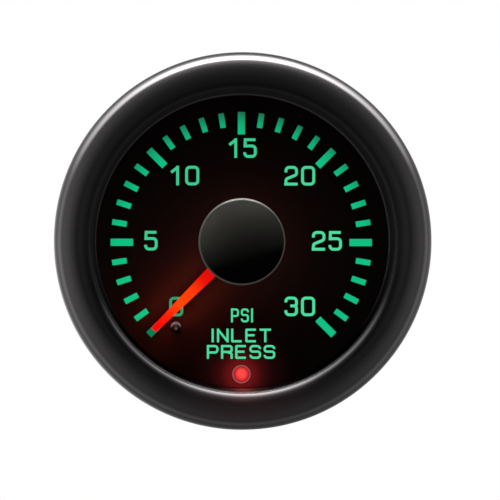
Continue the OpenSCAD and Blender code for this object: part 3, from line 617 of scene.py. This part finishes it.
def copperWire():
    # enamelled copper wire laid turn on turn, 0.15 mm across: fine brown ridges
    material = newMaterial("enamelledCopper", {"Metallic": 1.0})
    return addGrain(
        material,
        grain=0.3,
        height=0.02,
        roughness=(0.3, 0.4),
        shades=("#8f4a1c", "#b5672c"),
        stretch=(0.1, 0.1, 2),
    )


def drawnAluminium():
    # drawn aluminium of the capacitor's can: soft pale grey
    material = newMaterial("drawnAluminium", {"Metallic": 1.0})
    return addGrain(material, grain=0.5, height=0.003, roughness=(0.3, 0.4), shades=("#a5a8ad", "#c3c6ca"))


def stampedSteel():
    # stamped silicon steel of the stator: darker and duller than the plated parts
    material = newMaterial("siliconSteel", {"Metallic": 1.0})
    return addGrain(material, grain=0.4, height=0.004, roughness=(0.4, 0.5), shades=("#6f7276", "#8d9095"))


anodised = blackAnodised(bezelLook)
sleevePlastic = dullSleeve(sleeveLook)
canPaint = blackPaint()
glass = coatedGlass()
dialPrint = printedDial(paintedDialGlow)
scaleInk = litInk(
    "litScaleInk", inkLook["scale"], middle=(0, -3), reach=(20.3, 23.9), shaded=inkLook["tipShade"]
)
wordInk = litInk("litWordInk", inkLook["words"], middle=(9, -10), reach=(2, 26))
zeroInk = litInk("dimWordInk", inkLook["zero"], middle=(-10.5, -10.3), reach=(0, 3))
needleAcrylic = litNeedle(needleLook)
lampEpoxy = litLamp(lampLook)
capPaint = satinCap(capLook)
pinSteel = blackenedPin(pinLook)
blackNylon = matteBlackPlastic()
zinc = zincSteel()
brass = turnedBrass()
gold = goldFlash()
rubber = blackRubber()
boardMask = solderMask()
whitePlastic = plainPlastic("whitePolycarbonate", "#dedcd4", "#efeee8")
gearPlastic = plainPlastic("naturalAcetal", "#e2ddcc", "#f0ecdf")
creamPlastic = plainPlastic("creamNylon", "#d8c9a6", "#e6dab9")
chipPlastic = plainPlastic("mouldedEpoxy", "#191a1c", "#242528", roughness=(0.5, 0.65))
acrylic = clearAcrylic()
copper = copperWire()
silver = drawnAluminium()
siliconSteel = stampedSteel()
greenLamp = plainPlastic("greenLampResin", "#28b07a", "#39e8a0")
redLamp = plainPlastic("redLampResin", "#c43a30", "#ff5040")
print("materials made")


# Front ring and glass

bezelShape = {
    "lipRound": 3.0,
    "shoulderWidth": 1.35,
    "faceTilt": 22,
    "shoulderTilt": 32,
    "rearRound": 0.6,
    "tail": 3.9,
    "roll": (0.5, 0.6),
    "lensGap": 0.1,
    "sightInset": 0.55,
    "rimInset": 2.5,
    "rimDepth": (-4.8, -2.8),
    "sides": 256,
    "smooth": 24,
}


def makeBezel(s):
    # a rounded lip, a nearly flat face and a rounded shoulder, rolled behind the can's rim
    outer = bezelHigh.x
    front = bezelLow.y
    glassFront = lensLow.y
    lensEdge = lensHigh.x + s["lensGap"]
    sight = nodeBox("shadow_ring")[1].x - s["sightInset"]
    faceIn = sight + s["lipRound"]
    faceOut = outer - s["shoulderWidth"]
    faceRound = (faceOut - faceIn) / math.sin(math.radians(s["faceTilt"]))
    faceFall = faceRound * (1 - math.cos(math.radians(s["faceTilt"])))
    shoulder = s["shoulderWidth"] / (1 - math.sin(math.radians(s["shoulderTilt"])))
    shoulderBack = front + faceFall + shoulder * math.cos(math.radians(s["shoulderTilt"]))
    seat = outer - s["tail"]
    rim = outer - s["rimInset"]
    rimFront, rimBack = s["rimDepth"]
    rollWidth, rollDepth = s["roll"]
    outline = [Vector((seat - rollWidth, -rollDepth)), Vector((seat, 0))]
    outline += arcPoints((outer - s["rearRound"], -s["rearRound"]), s["rearRound"], 90, 0, steps=5)
    outline += arcPoints((outer - shoulder, shoulderBack), shoulder, 0, s["shoulderTilt"] - 90, steps=14)
    outline += arcPoints((faceIn, front + faceRound), faceRound, s["faceTilt"] - 90, -90, steps=14)
    outline += arcPoints((faceIn, front + s["lipRound"]), s["lipRound"], -90, -180, steps=14)[1:]
    outline += [Vector((sight, glassFront)), Vector((lensEdge, glassFront))]
    outline += [Vector((lensEdge, rimFront)), Vector((rim, rimFront))]
    outline += [Vector((rim, rimBack)), Vector((seat - rollWidth, rimBack))]
    return turnedPiece("bezel_ring", outline, s["sides"], s["smooth"])


lensShape = {"edge": 0.3, "sides": 160}


def makeLens(s):
    corners = [
        (0, lensLow.y, 0),
        (lensHigh.x, lensLow.y, s["edge"]),
        (lensHigh.x, lensHigh.y, s["edge"]),
        (0, lensHigh.y, 0),
    ]
    return turnedPiece("glass_lens", rounded(corners, steps=4), s["sides"])


sleeveShape = {"lip": 0.72, "lipDepth": 0.5, "wall": 0.4, "edge": 0.2, "sides": 160, "smooth": 40}


def makeSleeve(s):
    # the sleeve between glass and dial shows only the rounded lip at its front
    low, high = nodeBox("shadow_ring")
    front, back, outer = low.y, high.y, high.x
    corners = [
        (outer - s["lip"], front, s["edge"]),
        (outer, front, 0),
        (outer, back, 0),
        (outer - s["wall"], back, 0),
        (outer - s["wall"], front + s["lipDepth"], 0),
        (outer - s["lip"], front + s["lipDepth"], 0),
    ]
    return turnedPiece("dial_sleeve", rounded(corners, steps=5), s["sides"], s["smooth"])


dress(makeBezel(bezelShape), anodised, "gauge_body", ["bezel"])
dress(makeLens(lensShape), glass, "gauge_body", ["lens"])
dress(makeSleeve(sleeveShape), sleevePlastic, "gauge_body", ["shadow_ring"])
print("bezel and glass made")


# Dial, numbers and words

numberShape = {"height": 3.12, "width": 2.14, "stroke": 0.45, "gap": 0.5, "corner": 0.32, "thickness": 0.04}
wordShape = {"height": 2.2, "width": 1.86, "stroke": 0.35, "gap": 0.4, "corner": 0.3, "thickness": 0.04}
unitShape = {"height": 2.2, "width": 1.26, "stroke": 0.3, "gap": 0.32, "corner": 0.36, "thickness": 0.04}

# each stroke is a run of (across share, up share, corner share) on the middle line of the pen
strokeShares = {
    "0": [[(0, 0, 1), (1, 0, 1), (1, 1, 1), (0, 1, 1)]],
    "1": [[(0.67, -0.085, 0), (0.67, 1.085, 0)], [(0.67, 0.99, 0), (-0.02, 0.69, 0)]],
    "2": [
        [(0, 0.7, 0), (0, 1, 1), (1, 1, 1), (1, 0.56, 0.9), (0, 0.3, 0.8), (0, 0, 0)],
        [(-0.16, 0, 0), (1.1, 0, 0)],
    ],
    "3": [
        [(0, 0.74, 0), (0, 1, 1), (1, 1, 1), (1, 0.53, 0.7), (0.42, 0.53, 0)],
        [(0.42, 0.53, 0), (1, 0.53, 0.7), (1, 0, 1), (0, 0, 1), (0, 0.27, 0)],
    ],
    "5": [
        [(1.02, 1, 0), (-0.08, 1, 0)],
        [(0.05, 1, 0), (0.02, 0.54, 0)],
        [(0.0, 0.63, 0), (1, 0.63, 1), (1, 0, 1), (0, 0, 1), (0, 0.25, 0)],
    ],
    "E": [[(1, 1, 0), (0, 1, 0.2), (0, 0, 0.2), (1, 0, 0)], [(0, 0.52, 0), (0.86, 0.52, 0)]],
    "I": [[(0.5, -0.09, 0), (0.5, 1.09, 0)]],
    "L": [[(0, 1.09, 0), (0, 0, 0.2), (1, 0, 0)]],
    "N": [[(0, -0.09, 0), (0, 1.09, 0)], [(0, 1.0, 0), (1, 0, 0)], [(1, -0.09, 0), (1, 1.09, 0)]],
    "P": [[(0, -0.09, 0), (0, 1.09, 0)], [(0, 1, 0), (1, 1, 0.9), (1, 0.45, 0.9), (0, 0.45, 0)]],
    "R": [
        [(0, -0.09, 0), (0, 1.09, 0)],
        [(0, 1, 0), (1, 1, 0.7), (1, 0.5, 0.7), (0, 0.5, 0)],
        [(0.5, 0.5, 0), (1, 0.36, 0.4), (1, -0.09, 0)],
    ],
    "S": [
        [
            (1, 0.76, 0),
            (1, 1, 0.95),
            (0, 1, 0.95),
            (0, 0.53, 0.8),
            (1, 0.53, 0.8),
            (1, 0, 0.95),
            (0, 0, 0.95),
            (0, 0.24, 0),
        ]
    ],
    "T": [[(-0.1, 1, 0), (1.1, 1, 0)], [(0.5, 1, 0), (0.5, -0.09, 0)]],
}
narrowShares = {"0": 1.05, "1": 0.9, "I": 0.3}


def strokePoints(stroke, shape, left, wide, low, tall):
    closed = stroke[0][2] > 0
    reach = shape["corner"] * (shape["width"] - shape["stroke"])
    corners = [(left + x * wide, low + y * tall, corner * reach) for x, y, corner in stroke]
    return rounded(corners, steps=8), closed


def makeNib(shape):
    # the pen's section: as wide as a stroke, as thick as the print
    bpy.ops.object.select_all(action="DESELECT")
    bpy.ops.mesh.primitive_plane_add(size=1)
    nib = bpy.context.object
    nib.scale = (shape["stroke"] * mm, shape["thickness"] * mm, 1)
    bpy.ops.object.transform_apply(scale=True)
    selectOnly(nib)
    bpy.ops.object.mode_set(mode="EDIT")
    bpy.ops.mesh.select_all(action="SELECT")
    bpy.ops.mesh.delete(type="ONLY_FACE")
    bpy.ops.object.mode_set(mode="OBJECT")
    bpy.ops.object.convert(target="CURVE")
    return nib


def writeWord(name, text, middle, shape):
    # letters are strokes of one pen, as flat ribbons on the dial
    nib = makeNib(shape)
    bpy.ops.curve.primitive_bezier_curve_add()
    word = bpy.context.object
    word.name = name
    curve = word.data
    curve.splines.clear()
    curve.dimensions = "2D"
    curve.bevel_mode = "OBJECT"
    curve.bevel_object = nib
    curve.use_fill_caps = True
    widths = [shape["width"] * narrowShares.get(letter, 1) for letter in text]
    left = middle[0] - (sum(widths) + shape["gap"] * (len(text) - 1)) / 2
    low = middle[1] - shape["height"] / 2 + shape["stroke"] / 2
    tall = shape["height"] - shape["stroke"]
    for letter, width in zip(text, widths):
        for stroke in strokeShares[letter]:
            points, closed = strokePoints(
                stroke, shape, left + shape["stroke"] / 2, width - shape["stroke"], low, tall
            )
            spline = curve.splines.new("POLY")
            spline.points.add(len(points) - 1)
            for target, point in zip(spline.points, points):
                target.co = (point.x * mm, point.y * mm, 0, 1)
            spline.use_cyclic_u = closed
        left += width + shape["gap"]
    selectOnly(word)
    bpy.ops.object.convert(target="MESH")
    word.rotation_euler = (math.pi / 2, 0, 0)
    word.location = (0, (dialFront - shape["thickness"] / 2) * mm, 0)
    bpy.ops.object.transform_apply(location=True, rotation=True, scale=True)
    bpy.data.objects.remove(nib)
    return word


# each number's middle on the dial, across and up from the pointer's axis
numberPlaces = {
    "0": (-10.38, -10.24),
    "5": (-14.42, 0.27),
    "10": (-9.05, 10.66),
    "15": (0.17, 15.06),
    "20": (9.34, 10.66),
    "25": (13.66, 0.27),
    "30": (9.32, -10.19),
}
wordPlaces = {
    "PSI": ((0.12, -11.63), unitShape),
    "INLET": ((-0.05, -14.83), wordShape),
    "PRESS": ((-0.05, -17.45), wordShape),
}
for text, middle in numberPlaces.items():
    ink = zeroInk if text == "0" else wordInk
    dress(writeWord("number_" + text, text, middle, numberShape), ink, "gauge_body")
for text, (middle, shape) in wordPlaces.items():
    word = writeWord("word_" + text.lower(), text, middle, shape)
    dress(word, wordInk, "gauge_body")
disc = finishedCopy("dial_plate", "dial_disc", bevel=0)
dress(disc, dialPrint, "gauge_body", ["dial_plate"])
bars = finishedCopy("scale_marks", "scale_bars", bevel=0)
dress(bars, scaleInk, "gauge_body", ["scale_marks"])
print("dial made")


# Pointer, cap, pin and lamp

capShape = {
    "trim": 0.1,
    "rimWidth": 0.26,
    "rimTilt": 28,
    "dome": 0.75,
    "wall": 0.7,
    "roof": 1.2,
    "sides": 128,
    "smooth": 8,
}


def makeCap(s):
    # a shallow dome inside a narrow bevelled rim
    radius = capHigh.x - s["trim"]
    front, back = capLow.y, capHigh.y
    domeEdge = radius - s["rimWidth"]
    ball = (domeEdge**2 + s["dome"] ** 2) / (2 * s["dome"])
    reach = math.degrees(math.asin(domeEdge / ball))
    edgeFront = front + s["dome"]
    bevelBack = edgeFront + s["rimWidth"] * math.tan(math.radians(s["rimTilt"]))
    inner = radius - s["wall"]
    outline = arcPoints((0, front + ball), ball, -90, -90 + reach, steps=16)
    outline += [Vector((radius, bevelBack)), Vector((radius, back)), Vector((inner, back))]
    outline += [Vector((inner, front + s["roof"])), Vector((0, front + s["roof"]))]
    return turnedPiece("hub_cap", outline, s["sides"], s["smooth"])


needleGlow = {
    "size": (13, 2.0),
    "middle": 13.0,
    "lift": 4.2,
    "turn": 45,
    "power": 0.0011,
    "colour": (1.0, 0.28, 0.16),
}


def makeNeedleGlow(s):
    # the light that the lit needle throws on the dial; it turns with the needle
    bpy.ops.object.select_all(action="DESELECT")
    bpy.ops.object.light_add(type="AREA", location=(0, 0, 0))
    light = bpy.context.object
    light.name = "needle_glow"
    light.data.shape = "RECTANGLE"
    light.data.size = s["size"][0] * mm
    light.data.size_y = s["size"][1] * mm
    light.data.energy = s["power"]
    light.data.color = s["colour"]
    light.parent = frame["bodies"]["pointer_assembly"]
    light.location = Vector(needleRest) * s["middle"] * mm
    light.location.y = (dialFront - s["lift"]) * mm
    light.rotation_euler = Vector((0, 1, 0)).to_track_quat("-Z", "Y").to_euler()
    light.rotation_euler.rotate_axis("Z", math.radians(s["turn"]))
    light.visible_camera = False
    light.visible_glossy = False


dress(makeCap(capShape), capPaint, "pointer_assembly", ["pointer_cap"])
needle = finishedCopy("pointer_needle", "needle", bevel=0.07)
dress(needle, needleAcrylic, "pointer_assembly", ["pointer_needle"])
makeNeedleGlow(needleGlow)
pin = finishedCopy("stop_pin", "zero_stop", bevel=0.05)
dress(pin, pinSteel, "gauge_body", ["stop_pin"])
lampDome = finishedCopy("warning_lamp", "red_lamp", bevel=0.05)
dress(lampDome, lampEpoxy, "gauge_body", ["warning_lamp"])
print("pointer and lamp made")


# Case and what the panel's rear shows

# node: name, material, body, slot, broken edge and its segments
outerFinishes = {
    "can": ("case_can", canPaint, "gauge_body", "case_black", 0.12, 2),
    "rear_cover": ("back_cover", blackNylon, "gauge_body", "cover_black", 0.12, 2),
    "cover_screws": ("back_screws", zinc, "gauge_body", "steel", 0.12, 2),
    "connector_shroud": ("plug_shroud", blackNylon, "gauge_body", "cover_black", 0.15, 2),
    "connector_pins": ("plug_pins", gold, "gauge_body", "pin_gold", 0.12, 2),
    "stud_nuts": ("stud_hex_nuts", zinc, "gauge_body", "steel", 0.2, 2),
    "clamp_bracket": ("strap_clamp", zinc, "clamp", "steel", 0.25, 3),
    "clamp_washers": ("strap_washers", zinc, "clamp", "steel", 0.12, 2),
    "thumb_nut_left": ("left_knurled_nut", brass, "left_nut", "brass_parts", 0.08, 2),
    "thumb_nut_right": ("right_knurled_nut", brass, "right_nut", "brass_parts", 0.08, 2),
}
for node, (name, material, body, slot, bevel, segments) in outerFinishes.items():
    dress(finishedCopy(node, name, bevel, segments), material, body, [node])

studShape = {
    "radius": 2.0,
    "pitch": 0.7,
    "wire": 0.2,
    "sunk": 1.4,
    "turnSteps": 24,
    "chamfer": (0.4, 0.5),
    "headRadius": 3.4,
    "headThickness": 1.2,
    "headRound": 0.2,
    "sides": 40,
    "smooth": 40,
}


def windThread(s, across, start, end):
    # one right-hand thread from start to end, on the stud whose axis is that far across
    steps = int((end - start) / s["pitch"] * s["turnSteps"])
    bpy.ops.curve.primitive_bezier_curve_add()
    thread = bpy.context.object
    thread.data.splines.clear()
    thread.data.dimensions = "3D"
    thread.data.bevel_depth = s["wire"] * mm
    thread.data.bevel_resolution = 1
    thread.data.use_fill_caps = True
    spline = thread.data.splines.new("POLY")
    spline.points.add(steps)
    wound = s["radius"] - s["wire"]
    for k, point in enumerate(spline.points):
        turn = 2 * math.pi * k / s["turnSteps"]
        point.co = (
            (across + wound * math.cos(turn)) * mm,
            (start + s["pitch"] * k / s["turnSteps"]) * mm,
            -wound * math.sin(turn) * mm,
            1,
        )
    selectOnly(thread)
    bpy.ops.object.convert(target="MESH")
    bpy.ops.object.transform_apply(location=True, rotation=True, scale=True)
    return thread


def makeStuds(s):
    # each stud is a headed core with a thread wound on it
    core = s["radius"] - s["sunk"] * s["wire"]
    head, tip = studLow.y, studHigh.y
    headBack = head + s["headThickness"]
    tipIn, tipBack = s["chamfer"]
    corners = [
        (0, head, 0),
        (s["headRadius"], head, s["headRound"]),
        (s["headRadius"], headBack, s["headRound"]),
        (core, headBack, 0),
        (core, tip - tipBack, 0),
        (core - tipIn, tip, 0),
        (0, tip, 0),
    ]
    middle = studHigh.x - s["headRadius"]
    parts = []
    for across in (middle, -middle):
        rod = turnedPiece("stud_core", rounded(corners, steps=4), s["sides"])
        rod.location.x = across * mm
        bpy.ops.object.transform_apply(location=True)
        parts += [rod, windThread(s, across, nodeBox("rear_cover")[1].y, tip - tipBack)]
    bpy.ops.object.select_all(action="DESELECT")
    for part in parts:
        part.select_set(True)
    bpy.context.view_layer.objects.active = parts[0]
    bpy.ops.object.join()
    parts[0].name = "threaded_studs"
    bpy.ops.object.shade_smooth_by_angle(angle=math.radians(s["smooth"]))
    return parts[0]


dress(makeStuds(studShape), zinc, "gauge_body", ["mounting_studs"])
print("case and fixings made")


# Hidden pieces keep their CAD shape and get their own materials

innerFinishes = {
    "lens_gasket": rubber,
    "cover_seal": rubber,
    "light_guide": acrylic,
    "light_housing": whitePlastic,
    "dial_lamps": greenLamp,
    "pointer_lamps": redLamp,
    "display_board": boardMask,
    "pointer_hub": redLamp,
    "motor_shaft": zinc,
    "output_gear": gearPlastic,
    "idler_gear": gearPlastic,
    "rotor_pinion": gearPlastic,
    "rotor_magnet": chipPlastic,
    "stator": siliconSteel,
    "coil_bobbins": creamPlastic,
    "coil_windings": copper,
    "motor_housing": blackNylon,
    "motor_base": blackNylon,
    "motor_pins": gold,
    "control_board": boardMask,
    "board_spacers": brass,
    "board_screws": zinc,
    "board_header": gold,
    "microcontroller": chipPlastic,
    "power_regulator": chipPlastic,
    "smoothing_capacitor": silver,
}
for node, material in innerFinishes.items():
    nodes[node].data.materials.clear()
    nodes[node].data.materials.append(material)
print("inner pieces finished")


# Floor, lights, world and camera

studio = {
    "floorHeight": -75,
    "floorSize": 1800,
    "floorTones": ("#b4b4b2", "#bababa"),
    "floorGlow": 0.6,
    "lightTarget": (0, 20, 0),
    "leastReach": 0.001,
    "ambient": 0.015,
    "sheen": 7.4,
    "roomDepth": [
        (0.0, 0.02),
        (0.025, 0.032),
        (0.06, 0.05),
        (0.12, 0.06),
        (0.25, 0.05),
        (0.38, 0.075),
        (0.5, 0.15),
        (0.62, 0.08),
        (0.75, 0.06),
        (1.0, 0.12),
    ],
    "roomUp": [(0.0, 0.36), (0.3, 0.8), (0.5, 1.0), (0.7, 0.8), (1.0, 0.5)],
    "roomRight": [(0.0, 1.3), (0.5, 1.0), (1.0, 0.85)],
    "stripDepth": [(0.09, 0), (0.19, 0.12), (0.27, 0.4), (0.36, 0.9), (0.44, 1), (0.54, 0.4), (0.64, 0)],
    "stripUp": [(0.9, 0.0), (0.94, 0.12), (0.985, 0.8), (1.0, 1.0)],
    "stripGain": 2.6,
    "wideDepth": [(0.15, 0), (0.28, 0.25), (0.38, 0.8), (0.45, 1), (0.55, 0.8), (0.65, 0.3), (0.8, 0)],
    "wideUp": [(0.7, 0.0), (0.92, 0.85), (1.0, 0.6)],
    "wideGain": 1.0,
}


def addArea(name, place, target, size, power):
    bpy.ops.object.select_all(action="DESELECT")
    bpy.ops.object.light_add(type="AREA", location=[p * mm for p in place])
    light = bpy.context.object
    light.name = name
    light.data.shape = "RECTANGLE"
    light.data.size = size[0] * mm
    light.data.size_y = size[1] * mm
    light.data.energy = power
    aim = Vector(target) * mm - light.location
    light.rotation_euler = aim.to_track_quat("-Z", "Y").to_euler()
    light.visible_camera = False
    light.visible_glossy = False


def backlitCard(s):
    # pale card lit from behind, with a faint tooth; clear when seen from below
    look = {"Emission Color": (1, 1, 1, 1), "Emission Strength": s["floorGlow"]}
    material = newMaterial("backlitCard", look)
    tree = material.node_tree
    clearWhere(tree, addNode(tree, "ShaderNodeNewGeometry").outputs["Backfacing"])
    return addGrain(material, grain=3.0, height=0.01, roughness=(0.7, 0.8), shades=s["floorTones"])


def makeStage(s):
    bpy.ops.object.select_all(action="DESELECT")
    bpy.ops.mesh.primitive_plane_add(size=s["floorSize"] * mm, location=(0, 0, s["floorHeight"] * mm))
    floor = bpy.context.object
    floor.name = "pale_floor"
    floor.data.materials.append(backlitCard(s))
    floor.visible_glossy = False
    floor.visible_diffuse = False


def makeWorld(s):
    # a painted studio for reflections: dark in front, a narrow strip light above, wide light behind it;
    # white to the eye alone
    world = bpy.data.worlds.new("studioRoom")
    bpy.context.scene.world = world
    world.use_nodes = True
    tree = world.node_tree
    place = addNode(tree, "ShaderNodeTexCoord").outputs["Generated"]
    split = addNode(tree, "ShaderNodeSeparateXYZ", links={0: place})
    flat = addNode(tree, "ShaderNodeVectorMath", {"operation": "MULTIPLY", 1: (1, 0, 1)}, {0: place})
    reach = addNode(tree, "ShaderNodeVectorMath", {"operation": "LENGTH"}, {0: flat.outputs[0]})
    safe = mathNode(tree, "MAXIMUM", reach.outputs["Value"], s["leastReach"])
    depth = spread(tree, split.outputs["Y"], -1, 1)
    upward = spread(tree, mathNode(tree, "DIVIDE", split.outputs["Z"], safe), -1, 1)
    rightward = spread(tree, mathNode(tree, "DIVIDE", split.outputs["X"], safe), -1, 1)

    def paint(name):
        depthPart = fillRamp(tree, depth, s[name + "Depth"])
        return mathNode(tree, "MULTIPLY", depthPart, fillRamp(tree, upward, s[name + "Up"]))

    total = mathNode(tree, "MULTIPLY", paint("room"), fillRamp(tree, rightward, s["roomRight"]))
    for lamp in ("strip", "wide"):
        total = mathNode(tree, "ADD", total, mathNode(tree, "MULTIPLY", paint(lamp), s[lamp + "Gain"]))
    path = addNode(tree, "ShaderNodeLightPath")
    links = {0: path.outputs["Is Glossy Ray"], 3: mathNode(tree, "MULTIPLY", total, s["sheen"])}
    mirrored = addNode(tree, "ShaderNodeMix", {2: s["ambient"]}, links)
    links = {0: path.outputs["Is Camera Ray"], 2: mirrored.outputs[0]}
    final = addNode(tree, "ShaderNodeMix", {3: 1.0}, links)
    tree.links.new(final.outputs[0], tree.nodes["Background"].inputs["Color"])


def makeCamera(s):
    # the frame is 500 by 500 pixels; the bezel's middle and width there set the aim and the lens
    camera = bpy.data.cameras.new("frontCamera")
    holder = bpy.data.objects.new("frontCamera", camera)
    bpy.context.scene.collection.objects.link(holder)
    bpy.context.scene.camera = holder
    lift = math.radians(s["elevation"])
    turn = math.radians(s["azimuth"])
    target = Vector((0, s["sightPlane"], 0)) * mm
    away = Vector((math.sin(turn) * math.cos(lift), -math.cos(turn) * math.cos(lift), math.sin(lift)))
    away *= s["distance"] * mm
    holder.location = target + away
    holder.rotation_euler = (-away).to_track_quat("-Z", "Y").to_euler()
    frameWidth = 2 * bezelHigh.x * s["imageSide"] / s["bezelPixels"]
    camera.sensor_width = s["sensor"]
    camera.lens = s["sensor"] * s["distance"] / frameWidth
    camera.shift_x = (s["imageSide"] / 2 - s["middle"][0]) / s["imageSide"]
    camera.shift_y = -(s["imageSide"] / 2 - s["middle"][1]) / s["imageSide"]
    camera.clip_end = s["farClip"]


cameraView = {
    "elevation": -2,
    "azimuth": -1.8,
    "distance": 900,
    "sightPlane": -5,
    "imageSide": 500,
    "bezelPixels": 376.6,
    "middle": (242.3, 241.4),
    "sensor": 36,
    "farClip": 50,
}
makeStage(studio)
makeWorld(studio)
addArea("topBack", place=(-160, 260, 420), target=studio["lightTarget"], size=(300, 300), power=6.0)
addArea("lowBack", place=(220, 420, -20), target=studio["lightTarget"], size=(250, 250), power=2.5)
makeCamera(cameraView)
bpy.context.scene.view_settings.view_transform = "Standard"
print("studio made")
